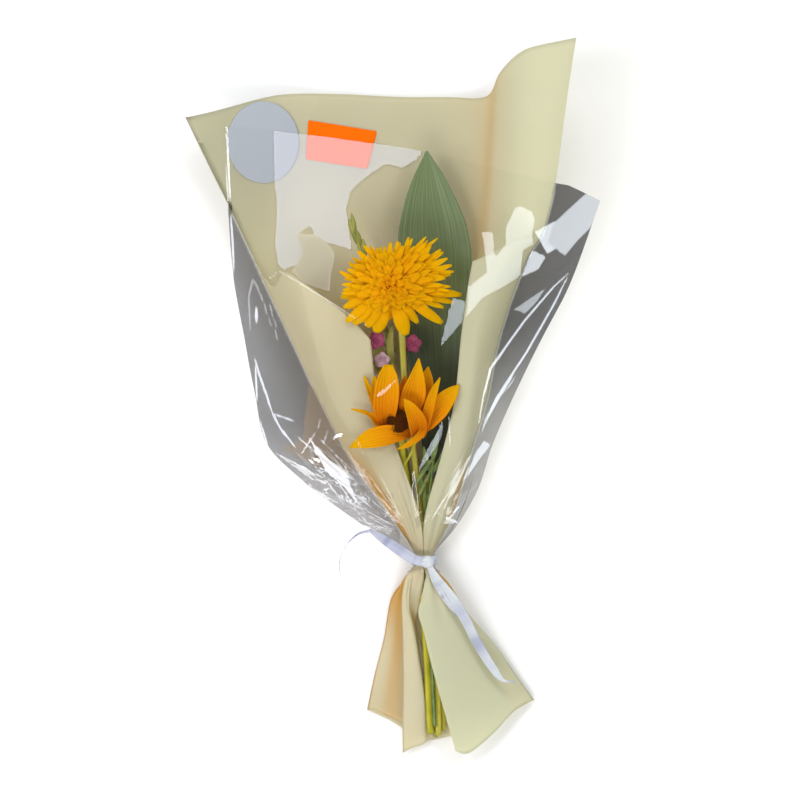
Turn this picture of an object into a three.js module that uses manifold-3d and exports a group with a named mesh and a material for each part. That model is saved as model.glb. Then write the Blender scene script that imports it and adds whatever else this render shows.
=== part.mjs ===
// A small mixed bouquet lying on its back: a chrysanthemum, a half-open sunflower, an aspidistra
// leaf, a pink-flowered spike and greenery, wrapped in cream paper and clear film, tied with a ribbon.
// Millimetres. +Y is the flower end, +Z is up, toward the viewer.
import * as THREE from "three";
import { mergeVertices } from "three/addons/utils/BufferGeometryUtils.js";
import Module from "manifold-3d";

const wasm = await Module();
wasm.setup();

// Driving dimensions
const paperThick = 0.8;
const filmThick = 0.6;
const ribbonThick = 0.7;
const labelThick = 0.5;
const labelGap = 0.4;
const neck = { x: 18.7, y: -125.6, z: 11.5, half: 5 };
const paperNeckRadius = 8.7;
const filmNeckRadius = 9.8;
const filmFrillRadius = 14.4;
const ribbonNeckRadius = 10.9;
const ribbonWidth = 8;
const seal = { x: -107, y: 202, radius: 32, foreshortened: 0.88, sides: 28 };
const label = { x: -47, y: 200, long: 53, wide: 30, corner: 3, tilt: -7 };
const bloom = { x: -1, y: 91, z: 53, petals: 92, inner: 12, outer: 27, keel: 1.1 };
const sunHead = { x: 1, y: -15, z: 44, discRadius: 8.6, seeds: 42, bracts: 9 };

const colours = {
  paper: "#d8cfa4",
  film: "#dfe6ea",
  ribbon: "#cfd5e2",
  seal: "#b9c0cb",
  label: "#ff7300",
  yellow: "#e7a50a",
  ray: "#ea9f0a",
  disc: "#46250a",
  stem: "#8f9a3c",
  leaf: "#3f5a34",
  bud: "#7f8b45",
  pink: "#b0506a",
  lilac: "#b58fa6",
  greenery: "#5b7a33",
};

const p3 = (x, y, z) => new THREE.Vector3(x, y, z);
const lerp = THREE.MathUtils.lerp;
const degrees = THREE.MathUtils.degToRad;

// Fused solids
function solidOf(geometry) {
  const bare = geometry.index ? geometry.clone() : geometry;
  bare.deleteAttribute("normal");
  bare.deleteAttribute("uv");
  const merged = mergeVertices(bare, 1e-4);
  return new wasm.Manifold(
    new wasm.Mesh({
      numProp: 3,
      vertProperties: merged.attributes.position.array,
      triVerts: new Uint32Array(merged.index.array),
    }),
  );
}

function fuse(geometries) {
  const whole = geometries.map(solidOf).reduce((sum, piece) => sum.add(piece));
  const mesh = whole.getMesh();
  const geometry = new THREE.BufferGeometry();
  geometry.setAttribute("position", new THREE.BufferAttribute(mesh.vertProperties, 3));
  geometry.setIndex(new THREE.BufferAttribute(mesh.triVerts, 1));
  return geometry;
}

// A closed mesh from points and faces, turned so that its faces point out
function closedMesh(points, faces) {
  let volume = 0;
  for (const [a, b, c] of faces) {
    volume += points[a].dot(p3().crossVectors(points[b], points[c]));
  }
  const outward = volume < 0 ? faces.map(([a, b, c]) => [a, c, b]) : faces;
  const geometry = new THREE.BufferGeometry().setFromPoints(points);
  geometry.setIndex(outward.flat());
  return geometry;
}

// A thin sheet from a grid of points, alike on both faces and closed round its rim
function sheet(grid, thick) {
  const rows = grid.length;
  const cols = grid[0].length;
  const at = (i, j) => grid[Math.min(rows - 1, Math.max(0, i))][Math.min(cols - 1, Math.max(0, j))];
  const normal = (i, j) => {
    const along = p3().subVectors(at(i + 1, j), at(i - 1, j));
    const across = p3().subVectors(at(i, j + 1), at(i, j - 1));
    return along.cross(across).normalize();
  };
  const points = [];
  for (const side of [1, -1]) {
    for (let i = 0; i < rows; i++) {
      for (let j = 0; j < cols; j++) {
        points.push(at(i, j).clone().addScaledVector(normal(i, j), (side * thick) / 2));
      }
    }
  }
  const back = rows * cols;
  const faces = [];
  for (let i = 0; i < rows - 1; i++) {
    for (let j = 0; j < cols - 1; j++) {
      const a = i * cols + j;
      const [b, c, d] = [a + 1, a + cols + 1, a + cols];
      faces.push([a, b, c], [a, c, d]);
      faces.push([back + a, back + c, back + b], [back + a, back + d, back + c]);
    }
  }
  const rim = [];
  for (let j = 0; j < cols - 1; j++) rim.push([j, j + 1]);
  for (let i = 0; i < rows - 1; i++) rim.push([i * cols + cols - 1, (i + 1) * cols + cols - 1]);
  for (let j = cols - 1; j > 0; j--) rim.push([(rows - 1) * cols + j, (rows - 1) * cols + j - 1]);
  for (let i = rows - 1; i > 0; i--) rim.push([i * cols, (i - 1) * cols]);
  for (const [a, b] of rim) {
    faces.push([b, a, back + a], [b, back + a, back + b]);
  }
  return closedMesh(points, faces);
}

// A round stem along a list of points
function stem(list, radius, sides = 7, steps = 14) {
  const outline = new THREE.Shape();
  for (let k = 0; k < sides; k++) {
    const turn = (2 * Math.PI * k) / sides;
    const go = k ? "lineTo" : "moveTo";
    outline[go](radius * Math.cos(turn), radius * Math.sin(turn));
  }
  const path = new THREE.CatmullRomCurve3(list, false, "centripetal");
  return new THREE.ExtrudeGeometry(outline, { steps, bevelEnabled: false, extrudePath: path });
}

// A blade along a list of points: its two margins, with a midrib raised or sunk by its cup
function blade(list, side, widths, cup, thick = 0.7, rows = 6) {
  const path = new THREE.CatmullRomCurve3(list, false, "centripetal");
  const grid = [];
  for (let i = 0; i < rows; i++) {
    const t = i / (rows - 1);
    const spine = path.getPoint(t);
    const tangent = path.getTangent(t);
    const across = side.clone().addScaledVector(tangent, -side.dot(tangent)).normalize();
    const up = p3().crossVectors(across, tangent).normalize();
    const place = t * (widths.length - 1);
    const k = Math.min(widths.length - 2, Math.floor(place));
    const half = lerp(widths[k], widths[k + 1], place - k);
    grid.push([
      spine.clone().addScaledVector(across, -half).addScaledVector(up, cup * half),
      spine.clone(),
      spine.clone().addScaledVector(across, half).addScaledVector(up, cup * half),
    ]);
  }
  return sheet(grid, thick);
}

// A petal: three margins' width of blade with a keel beneath, from its root to its tip
function petal(root, middle, tip, side, width, keel) {
  const path = new THREE.QuadraticBezierCurve3(root, middle, tip);
  const points = [root.clone()];
  const stations = [
    [0.3, 0.62],
    [0.68, 1],
    [0.93, 0.72],
  ];
  for (const [t, share] of stations) {
    const spine = path.getPoint(t);
    const tangent = path.getTangent(t);
    const across = side.clone().addScaledVector(tangent, -side.dot(tangent)).normalize();
    const up = p3().crossVectors(across, tangent).normalize();
    const half = (width / 2) * share;
    points.push(spine.clone().addScaledVector(across, -half).addScaledVector(up, half * 0.25));
    points.push(spine.clone().addScaledVector(across, half).addScaledVector(up, half * 0.25));
    points.push(spine.clone().addScaledVector(up, -keel));
  }
  points.push(tip.clone());
  const faces = [
    [0, 2, 1],
    [0, 1, 3],
    [0, 3, 2],
  ];
  for (const k of [1, 4]) {
    for (const [a, b] of [[0, 1], [1, 2], [2, 0]]) {
      faces.push([k + a, k + b, k + b + 3], [k + a, k + b + 3, k + a + 3]);
    }
  }
  faces.push([7, 8, 10], [8, 9, 10], [9, 7, 10]);
  return closedMesh(points, faces);
}

// A wrapped sheet: each guide line runs from the hem below the tie, through the neck, to the rim
const neckPoint = (angle, radius, along = 0) => {
  const turn = degrees(angle);
  return p3(neck.x + radius * Math.cos(turn), neck.y + along, neck.z + radius * Math.sin(turn));
};

function guideLine({ angle, below, above }, radius) {
  const hem = below.map((point) => p3(...point)).reverse();
  const rim = above.map((point) => p3(...point));
  const tied = [-neck.half, 0, neck.half].map((along) => neckPoint(angle, radius, along));
  const path = new THREE.CatmullRomCurve3([...hem, ...tied, ...rim], false, "centripetal");
  const perSpan = 30;
  const lengths = path.getLengths(perSpan * (path.points.length - 1));
  path.arcLengthDivisions = lengths.length - 1;
  const whole = lengths[lengths.length - 1];
  const atNeck = lengths[perSpan * (hem.length + 1)];
  return {
    down: atNeck,
    up: whole - atNeck,
    point(reach) {
      const share = (atNeck + reach) / whole;
      const held = Math.min(1, Math.max(0, share));
      return path.getPointAt(held).addScaledVector(path.getTangentAt(held), (share - held) * whole);
    },
  };
}

function wrappedGrid(guides, radius, thick, { perGap, rowsDown, rowsUp }) {
  const lines = guides.map((guide) => guideLine(guide, radius));
  const columns = (lines.length - 1) * perGap;
  const grid = [];
  for (let i = -rowsDown; i <= rowsUp; i++) {
    const row = [];
    const step = Math.abs(i);
    const share = Math.max(0, (step - 1) / ((i < 0 ? rowsDown : rowsUp) - 1)) ** 1.25;
    for (let j = 0; j <= columns; j++) {
      const place = j / perGap;
      const k = Math.min(lines.length - 2, Math.floor(place));
      const key = i < 0 ? "down" : "up";
      const whole = lerp(lines[k][key], lines[k + 1][key], place - k);
      const reach = Math.sign(i) * lerp(neck.half, whole, share);
      const level = lines.map((line) => line.point(reach));
      const across = new THREE.CatmullRomCurve3(level, false, "centripetal");
      const point = across.getPoint(j / columns);
      point.z = Math.max(point.z, thick / 2);
      row.push(point);
    }
    grid.push(row);
  }
  return grid;
}

// Paper, from the free edge of the left flap round the back to the free edge of the right flap
const paperGuides = [
  // free edge of the left flap; below the tie it passes under the stems
  {
    angle: 99,
    below: [
      [15, -136, 20.6], [10.2, -148, 16.4], [10.4, -160, 10], [14.6, -176, 4.4], [25, -203, 3.2],
      [43, -264, 2.8],
    ],
    above: [[13.7, -93.6, 31], [-1.6, -40.6, 36], [-18.7, -1.6, 38], [-33.5, 53.8, 44]],
  },
  // the flap, and the panel left of the stems
  {
    angle: 115,
    below: [
      [11.4, -137, 20], [7.8, -149, 16.6], [7.4, -162, 12], [11.6, -178, 7], [19.6, -225, 4],
      [25, -266, 3],
    ],
    above: [[9.8, -93.6, 31.6], [-8, -40.6, 37.5], [-28, -1.6, 40], [-46, 70.2, 46]],
  },
  // ridge along the slit
  {
    angle: 132,
    below: [
      [8.8, -138, 19], [5.6, -158, 16.4], [9.8, -178, 16], [15.4, -212, 13], [18, -234, 11],
      [18.5, -270, 6],
    ],
    above: [[5.4, -93.6, 31.5], [-17, -40.6, 38], [-39, -1.6, 41], [-58, 79, 47]],
  },
  // left side of the middle panel
  {
    angle: 150,
    below: [[5.5, -139, 18], [2.3, -156, 16], [2.3, -187, 13.5], [2.3, -226, 11], [2.3, -277, 7.4]],
    above: [[0.8, -93.6, 29], [-28, -40.6, 36], [-52.3, -1.6, 40], [-78, 92.8, 46]],
  },
  // top of the flap, and the pleat folded in under the middle panel
  {
    angle: 168,
    below: [[5, -139, 15.4], [5.5, -156, 10.4], [8.6, -187, 6.8], [11.5, -226, 5], [13.5, -262, 2.9]],
    above: [[-3.1, -93.6, 23], [-38.2, -40.6, 29], [-60.1, -1.6, 32], [-90.5, 100.6, 38]],
  },
  // left fold, and the left panel of the skirt
  {
    angle: 190,
    below: [[4.4, -139, 12.6], [0, -156, 7], [-3.9, -187, 4.8], [-9.4, -226, 3.4], [-12, -247, 2.8]],
    above: [[-4.7, -93.6, 15], [-42.1, -40.6, 19], [-62.4, -1.6, 20], [-107.6, 97.5, 25]],
  },
  // corner at the far left
  {
    angle: 210,
    below: [
      [4.6, -140, 9.6], [-6.2, -154.4, 5.2], [-12.5, -187, 3.2], [-20.3, -218, 2.2],
      [-25.7, -243.4, 1.8],
    ],
    above: [[-3.1, -93.6, 8], [-39.8, -40.6, 9], [-60.1, -1.6, 9.5], [-115, 112, 19], [-167.7, 220.7, 34]],
  },
  // back
  {
    angle: 232,
    below: [[7.8, -140, 6.6], [3.9, -164, 2.3], [-1.6, -195, 1.2], [-5.5, -226, 0.8], [-9.4, -251, 0.6]],
    above: [[3.1, -93.6, 3.6], [-26.5, -40.6, 3.2], [-42.9, -1.6, 3], [-72, 117, 4.5], [-97.5, 239, 12]],
  },
  {
    angle: 252,
    below: [[12.4, -141, 4.6], [11.7, -165, 1.5], [10.9, -195, 0.9], [9.4, -226, 0.6], [7.8, -261, 0.5]],
    above: [[10.1, -93.6, 2.5], [-9.4, -40.6, 2], [-19.5, -1.6, 1.9], [-39, 117, 1.9], [-56, 240.5, 4]],
  },
  {
    angle: 270,
    below: [[18.7, -141, 3.6], [20.3, -165, 1.2], [22.6, -195, 0.7], [23.4, -226, 0.5], [25, -267, 0.5]],
    above: [[17.2, -93.6, 2.2], [7.8, -40.6, 1.9], [2.3, -1.6, 1.8], [-2.3, 117, 1.8], [-4, 238.3, 2.6]],
  },
  {
    angle: 288,
    below: [[25, -141, 4.6], [31.2, -165, 1.5], [35.9, -195, 0.7], [40.6, -226, 0.5], [46.8, -261, 0.5]],
    above: [[24.2, -93.6, 2.5], [24.2, -40.6, 2.2], [23.4, -1.6, 2.2], [28.9, 117, 3], [36.7, 238, 4.4]],
  },
  // soft valley at the foot of the roll
  {
    angle: 308,
    below: [[30.4, -141, 6.8], [40.6, -165, 2.4], [49.9, -195, 1.3], [57.7, -226, 0.9], [64.7, -256, 0.7]],
    above: [[29.6, -93.6, 3.4], [37.4, -40.6, 4], [40.6, -1.6, 5], [57.7, 117, 8], [67.9, 238.3, 11]],
  },
  {
    angle: 325,
    below: [[34, -141, 9], [47.6, -167, 4], [60.8, -195, 2.3], [70.2, -226, 1.6], [78, -251, 1.2]],
    above: [[33.5, -93.6, 6], [44.5, -40.6, 8.5], [49.9, -1.6, 11.5], [69.4, 117, 25], [78, 256, 32]],
  },
  {
    angle: 340,
    below: [[35.5, -142, 11.2], [52.3, -168.5, 6], [67.1, -195, 3.8], [80.3, -226, 2.8], [89.7, -244, 2.3]],
    above: [[36.7, -93.6, 10.5], [50.7, -40.6, 15.5], [58.5, -1.6, 20.5], [81.9, 117, 47], [97, 272, 62]],
  },
  // far corner of the roll, and the right fold of the skirt
  {
    angle: 355,
    below: [
      [36.6, -143, 13.6], [55.4, -170, 9], [74.1, -191, 6.8], [92.8, -218.4, 5.2],
      [105.3, -235.6, 4.6],
    ],
    above: [[38.2, -93.6, 16.5], [54.6, -40.6, 23.5], [64, -1.6, 31], [97, 125, 66], [136.5, 280, 86]],
  },
  // free edge of the roll where it folds to the front
  {
    angle: 375,
    below: [
      [35.6, -143.4, 16.4], [51.5, -170, 14.4], [65.5, -195, 12.6], [80.3, -224.6, 11.5],
      [89.7, -244, 11.5],
    ],
    above: [
      [39, -93.6, 22.5], [55.4, -40.6, 30.5], [67.1, -1.6, 38.5], [78, 50.7, 50], [99, 110, 70],
      [110.5, 128, 77], [114.5, 142, 80],
    ],
  },
  // the right flap, and the front panel of the skirt
  {
    angle: 393,
    below: [
      [33.2, -143.5, 19], [43.7, -170, 17.4], [54.6, -199, 15.8], [65.5, -230, 14.8],
      [72.5, -256, 14.4],
    ],
    above: [
      [35.9, -93.6, 28.4], [51.5, -40.6, 36.5], [60.8, -1.6, 43.5], [68.6, 50.7, 58],
      [80.3, 103, 75], [88, 122.5, 80],
    ],
  },
  {
    angle: 416,
    below: [
      [26, -143.5, 21.4], [33.5, -170, 19.4], [41.3, -203, 18.6], [49.1, -238, 17.8],
      [54.6, -272, 16.6],
    ],
    above: [
      [29.6, -93.6, 32.6], [45.2, -40.6, 40], [53.8, -1.6, 47.5], [59.3, 50.7, 61],
      [65.5, 89.7, 71], [70.2, 113.9, 76],
    ],
  },
  // free edge of the right flap, which is the left edge of the front panel
  {
    angle: 444,
    below: [
      [15.2, -139, 22.3], [11.2, -150, 21.8], [11.4, -158, 21.2], [13.6, -167, 20.8],
      [22.6, -199, 21], [31.2, -231.7, 21], [42, -274, 18.6],
    ],
    above: [
      [21.3, -93.6, 33.6], [33, -40.6, 40], [42.1, -1.6, 46], [47.6, 50.7, 57], [52.3, 85.8, 64],
      [56.2, 107.6, 69],
    ],
  },
];

// Film, from the free edge on the right over the front, round the left wing and back under the paper
const filmGuides = [
  {
    angle: 368,
    above: [[43, -100, 17], [60, -70, 21], [72, -35, 26], [100, 27, 33], [133.4, 92, 46], [156, 154.5, 60]],
  },
  {
    angle: 395,
    above: [[42.2, -96, 26.5], [61, -38, 41], [79, 14, 54], [103, 76, 72], [130.3, 166, 84]],
  },
  {
    angle: 420,
    above: [[32.8, -93.6, 37.5], [48, -40.6, 48], [64, 14, 66], [84, 80, 84], [100, 172, 97]],
  },
  {
    angle: 446,
    above: [[20, -93.6, 41], [25, -35, 63], [27, 10, 80], [32, 78, 99], [48.4, 185, 100]],
  },
  {
    angle: 472,
    above: [[6, -93.6, 39], [-6, -39, 68], [-17, 8, 80], [-22, 78, 96], [-31.2, 200.5, 84]],
  },
  {
    angle: 500,
    above: [[-8, -91, 33], [-37, -39, 57], [-58.5, 8, 64], [-69, 94, 70], [-97.5, 209, 66]],
  },
  {
    angle: 522,
    above: [
      [-22, -90, 25], [-62, -43, 35], [-90, 4, 41], [-112, 86, 47], [-126, 156, 48],
      [-138, 213.7, 46],
    ],
  },
  // left wing
  {
    angle: 542,
    above: [
      [-6, -113, 13], [-50, -83.5, 14.5], [-78, -62.4, 15], [-104.5, -35, 17], [-114, 5.5, 19],
      [-129.5, 90, 24],
    ],
  },
  {
    angle: 560,
    above: [[-12, -97, 6.5], [-48, -66, 3.4], [-86, -39, 1.8], [-100, 0, 1.2], [-108, 60, 1.6]],
  },
  // the back, which lies flat
  {
    angle: 585,
    above: [[0, -93.6, 1.3], [-30, -47, 0.3], [-47, 0, 0.3], [-58, 78, 0.3]],
  },
  {
    angle: 610,
    above: [[9.4, -93.6, 0.8], [-9.4, -40.6, 0.3], [-22, 0, 0.3], [-35, 100, 0.3]],
  },
  {
    angle: 632,
    above: [[17.2, -93.6, 0.6], [7.8, -40.6, 0.3], [3.9, 0, 0.3], [3.9, 108, 0.3]],
  },
  {
    angle: 652,
    above: [[26, -93.6, 0.8], [28, -40.6, 0.3], [31, 0, 0.3], [43, 108, 0.3]],
  },
  {
    angle: 675,
    above: [[36.7, -93.6, 2.8], [50, -40.6, 1.6], [60, 0, 1], [84, 106, 1]],
  },
  {
    angle: 697,
    above: [[43, -96, 8], [62, -40, 8], [80, 8, 7], [112, 84, 10], [124, 102, 13]],
  },
  {
    angle: 712,
    above: [
      [45.5, -98, 13.5], [65, -66, 16.5], [77, -33, 20], [105, 27, 26], [137, 90, 38],
      [159, 150, 52],
    ],
  },
];

// the film ends in a short frill below the tie
for (const guide of filmGuides) {
  const frill = neckPoint(guide.angle, filmFrillRadius, -9.5);
  guide.below = [[frill.x, frill.y, lerp(neck.z, frill.z, 0.76)]];
}

const paperRows = { perGap: 2, rowsDown: 10, rowsUp: 14 };
const filmRows = { perGap: 2, rowsDown: 2, rowsUp: 14 };
const paperGrid = wrappedGrid(paperGuides, paperNeckRadius, paperThick, paperRows);
const filmGrid = wrappedGrid(filmGuides, filmNeckRadius, filmThick, filmRows);

// Seal and label, which follow the paper under them
function paperHeight(x, y) {
  const ray = new THREE.Raycaster(p3(x, y, 500), p3(0, 0, -1));
  const hits = ray.intersectObject(paperBack);
  return hits.length ? hits[0].point.z : 0;
}

function sticker(outline, rings) {
  const rows = rings.map((share) =>
    outline.map(([x, y, cx, cy]) => [lerp(cx, x, share), lerp(cy, y, share)]),
  );
  const points = [];
  for (const lift of [labelThick + labelGap, labelGap]) {
    for (const row of rows) {
      for (const [x, y] of row) points.push(p3(x, y, paperHeight(x, y) + lift));
    }
    const [, , cx, cy] = outline[0];
    points.push(p3(cx, cy, paperHeight(cx, cy) + lift));
  }
  const n = outline.length;
  const half = rows.length * n + 1;
  const faces = [];
  for (let k = 0; k < n; k++) {
    const next = (k + 1) % n;
    for (let r = 0; r < rows.length - 1; r++) {
      const [a, b, c, d] = [r * n + k, r * n + next, (r + 1) * n + next, (r + 1) * n + k];
      faces.push([a, b, c], [a, c, d]);
      faces.push([half + a, half + c, half + b], [half + a, half + d, half + c]);
    }
    const last = (rows.length - 1) * n;
    faces.push([last + k, last + next, half - 1]);
    faces.push([half + last + next, half + last + k, 2 * half - 1]);
    faces.push([next, k, half + k], [next, half + k, half + next]);
  }
  return closedMesh(points, faces);
}

function sealOutline() {
  const list = [];
  for (let k = 0; k < seal.sides; k++) {
    const turn = (2 * Math.PI * k) / seal.sides;
    const x = seal.x + seal.radius * seal.foreshortened * Math.cos(turn);
    list.push([x, seal.y + seal.radius * Math.sin(turn), seal.x, seal.y]);
  }
  return list;
}

function labelOutline() {
  const tilt = degrees(label.tilt);
  const list = [];
  const corners = [[1, 1], [-1, 1], [-1, -1], [1, -1]];
  corners.forEach(([sx, sy], index) => {
    for (const turn of [0, 45, 90]) {
      const angle = degrees(turn + 90 * index);
      const x = sx * (label.long / 2 - label.corner) + label.corner * Math.cos(angle);
      const y = sy * (label.wide / 2 - label.corner) + label.corner * Math.sin(angle);
      const turnedX = label.x + x * Math.cos(tilt) - y * Math.sin(tilt);
      const turnedY = label.y + x * Math.sin(tilt) + y * Math.cos(tilt);
      list.push([turnedX, turnedY, label.x, label.y]);
    }
  });
  return list;
}

const paperBack = new THREE.Mesh(sheet(paperGrid, paperThick));

// Ribbon: the band round the neck, the knot and two tails
function ribbonStrip(list, side, width, rows) {
  return blade(list, side, Array(rows).fill(width / 2), 0, ribbonThick, rows);
}

function ribbon() {
  const band = new THREE.LatheGeometry(
    [
      [ribbonNeckRadius - ribbonThick / 2, -ribbonWidth / 2],
      [ribbonNeckRadius + ribbonThick / 2, -ribbonWidth / 2],
      [ribbonNeckRadius + ribbonThick / 2, ribbonWidth / 2],
      [ribbonNeckRadius - ribbonThick / 2, ribbonWidth / 2],
      [ribbonNeckRadius - ribbonThick / 2, -ribbonWidth / 2],
    ].map(([r, h]) => new THREE.Vector2(r, h)),
    32,
  );
  band.translate(neck.x, neck.y, 0).translate(0, 0, neck.z);
  const knot = new THREE.SphereGeometry(1, 12, 8);
  knot.scale(7.6, 6.2, 3.2).translate(neck.x + 4.6, neck.y - 0.6, neck.z + ribbonNeckRadius + 3);
  const leftTail = ribbonStrip(
    [
      p3(22, -126, 26),
      p3(6, -119, 26),
      p3(-8, -109.5, 26.5),
      p3(-20, -103.5, 26.5),
      p3(-34, -103, 23),
      p3(-42, -112, 17),
    ],
    p3(0.4, 1, 0.5),
    6.4,
    8,
  );
  const rightTail = ribbonStrip(
    [
      p3(23, -127, 26),
      p3(32, -143, 25.4),
      p3(45, -169, 22.6),
      p3(58, -193, 20.4),
      p3(71, -214, 19.4),
      p3(86, -222.5, 20),
    ],
    p3(1, 0.45, 0.15),
    7.4,
    10,
  );
  return fuse([band, knot, leftTail, rightTail]);
}

// Chrysanthemum
const goldenAngle = degrees(137.508);

function chrysanthemumPetals() {
  const core = new THREE.SphereGeometry(1, 14, 8);
  core.scale(26, 22, 15).translate(bloom.x, bloom.y, bloom.z);
  const pieces = [core];
  for (let i = 0; i < bloom.petals; i++) {
    const rank = (i + 0.5) / bloom.petals;
    const tilt = degrees(12 + 92 * rank ** 0.75);
    const turn = i * goldenAngle;
    const out = p3(Math.cos(turn) * Math.sin(tilt), Math.sin(turn) * Math.sin(tilt), Math.cos(tilt));
    const below = Math.max(0, -Math.sin(turn)) * rank;
    const rootAt = p3(bloom.x + out.x * 21, bloom.y + out.y * 17, bloom.z + out.z * 11 - 1);
    const uneven = 2.2 * Math.sin(7 * turn) * rank;
    const reach = lerp(bloom.inner, bloom.outer, rank ** 1.2) + 5 * below + uneven;
    const width = lerp(6.4, 9, rank) + 3 * below;
    const side = p3(-Math.sin(turn), Math.cos(turn), 0);
    const curl = lerp(6, -3, rank);
    const middle = rootAt.clone().addScaledVector(out, reach * 0.6).add(p3(0, 0, -curl * 0.3));
    const tip = rootAt.clone().addScaledVector(out, reach).add(p3(0, 0, curl * 0.7));
    pieces.push(petal(rootAt, middle, tip, side, width, bloom.keel));
  }
  return fuse(pieces);
}

function chrysanthemumStem() {
  const path = [
    p3(30.4, -263, 10.2),
    p3(28.2, -200, 11.6),
    p3(neck.x + 2.9, neck.y, neck.z + 2.6),
    p3(15.5, -88, 16.5),
    p3(10.5, -40, 23.5),
    p3(4, 8, 29),
    p3(1.6, 50, 32),
    p3(0, 80, 33.5),
  ];
  const calyx = new THREE.SphereGeometry(1, 10, 6);
  calyx.scale(11, 10, 3.6).translate(0, 86, 34.2);
  return fuse([stem(path, 2.5, 8, 22), calyx]);
}

// Sunflower
// each ray: its bearing in degrees, its reach seen from above, and how far its tip rises
const rays = [
  [75, 49, 14],
  [58, 46, 22],
  [43, 43, 12],
  [29, 50, 15],
  [5, 36, 24],
  [-22, 30, 20],
  [-56, 27, 18],
  [-90, 25, 19],
  [-122, 33, 17],
  [-150, 45, 8],
  [171, 40, 12],
  [141, 42, 14],
  [119, 40, 20],
  [103, 44, 8],
];

function sunflowerRays() {
  const ring = new THREE.CylinderGeometry(12.5, 9, 5, 16);
  ring.rotateX(Math.PI / 2).translate(sunHead.x, sunHead.y, sunHead.z - 3.5);
  const pieces = [ring];
  for (const [bearing, reach, rise] of rays) {
    const turn = degrees(bearing);
    const out = p3(Math.cos(turn), Math.sin(turn), 0);
    const from = p3(sunHead.x, sunHead.y, sunHead.z - 3.6);
    const list = [
      from.clone().addScaledVector(out, 8),
      from.clone().addScaledVector(out, 10 + reach * 0.22).add(p3(0, 0, rise * 0.34)),
      from.clone().addScaledVector(out, 6 + reach * 0.58).add(p3(0, 0, rise * 0.8)),
      from.clone().addScaledVector(out, reach).add(p3(0, 0, rise)),
    ];
    const side = p3(-Math.sin(turn), Math.cos(turn), 0);
    pieces.push(blade(list, side, [2.6, 6.6, 7.6, 5.6, 0.7], 0.22, 0.9, 6));
  }
  return fuse(pieces);
}

function sunflowerDisc() {
  const full = sunHead.discRadius;
  const dome = new THREE.SphereGeometry(1, 14, 6);
  dome.scale(full, full, 3.4).translate(sunHead.x, sunHead.y, sunHead.z + 2.6);
  const pieces = [dome];
  for (let i = 0; i < sunHead.seeds; i++) {
    const radius = 0.91 * full * Math.sqrt((i + 0.5) / sunHead.seeds);
    const turn = i * goldenAngle;
    const lift = 3.2 * Math.sqrt(1 - (radius / full) ** 2);
    const x = sunHead.x + radius * Math.cos(turn);
    const y = sunHead.y + radius * Math.sin(turn);
    const seed = new THREE.ConeGeometry(1.05, 2.6, 3, 1);
    seed.rotateX(Math.PI / 2).translate(x, y, sunHead.z + 2.8 + lift);
    pieces.push(seed);
  }
  return fuse(pieces);
}

function sunflowerStem() {
  const path = [
    p3(24.6, -262, 9.8),
    p3(22.4, -200, 10.4),
    p3(neck.x - 3.3, neck.y, neck.z + 1.5),
    p3(9, -88, 17.5),
    p3(3.5, -55, 26),
    p3(1.4, -32, 32.5),
    p3(1, -18, 34.4),
  ];
  const receptacle = new THREE.SphereGeometry(1, 12, 6);
  receptacle.scale(10, 10, 3.4).translate(sunHead.x, sunHead.y, sunHead.z - 9.8);
  const pieces = [stem(path, 2.9, 8, 22), receptacle];
  for (let i = 0; i < sunHead.bracts; i++) {
    const turn = degrees(18) + (2 * Math.PI * i) / sunHead.bracts;
    const out = p3(Math.cos(turn), Math.sin(turn), 0);
    const from = p3(sunHead.x, sunHead.y, sunHead.z - 10);
    const reach = 27 + 4 * Math.cos(3 * turn);
    const list = [
      from.clone().addScaledVector(out, 6),
      from.clone().addScaledVector(out, reach * 0.55).add(p3(0, 0, -0.8)),
      from.clone().addScaledVector(out, reach).add(p3(0, 0, -1.6)),
    ];
    const side = p3(-Math.sin(turn), Math.cos(turn), 0);
    pieces.push(blade(list, side, [3.4, 3.8, 2.4, 0.6], 0.1, 0.8, 4));
  }
  return fuse(pieces);
}

// Aspidistra leaf
function aspidistraLeaf() {
  const path = new THREE.CatmullRomCurve3(
    [
      p3(22.6, -66, 10.5),
      p3(28.9, -31, 11.5),
      p3(30.4, 16, 13.5),
      p3(28, 66, 16.5),
      p3(26.5, 121, 19.5),
      p3(23.4, 160, 22.5),
      p3(21, 195, 25),
    ],
    false,
    "centripetal",
  );
  const halves = [1.2, 7.5, 13.5, 18.5, 22.5, 26, 28.5, 29, 26.5, 20, 11.5, 0.6];
  const shares = [-1, -0.55, 0, 0.55, 1];
  const rows = 14;
  const grid = [];
  for (let i = 0; i < rows; i++) {
    const t = i / (rows - 1);
    const spine = path.getPoint(t);
    const place = t * (halves.length - 1);
    const k = Math.min(halves.length - 2, Math.floor(place));
    const half = lerp(halves[k], halves[k + 1], place - k);
    const cup = 0.1 * half;
    grid.push(shares.map((share) => p3(spine.x + share * half, spine.y, spine.z + cup * share * share)));
  }
  const petiole = stem(
    [
      p3(34.2, -259, 6.9),
      p3(31.5, -200, 8),
      p3(neck.x + 4.4, neck.y, neck.z - 3.1),
      p3(23.6, -92, 8.8),
      p3(22.6, -62, 10.7),
    ],
    1.8,
    6,
    14,
  );
  return fuse([sheet(grid, 0.9), petiole]);
}

// Pink-flowered spike
const florets = [
  { x: -18.5, y: 46.5, z: 34, size: 7, colour: colours.pink },
  { x: 9.8, y: 44, z: 26.6, size: 7.4, colour: colours.pink },
  { x: -14, y: 31, z: 31.5, size: 6.6, colour: colours.lilac },
  { x: -24, y: 18, z: 28, size: 6, colour: colours.lilac },
];

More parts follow.
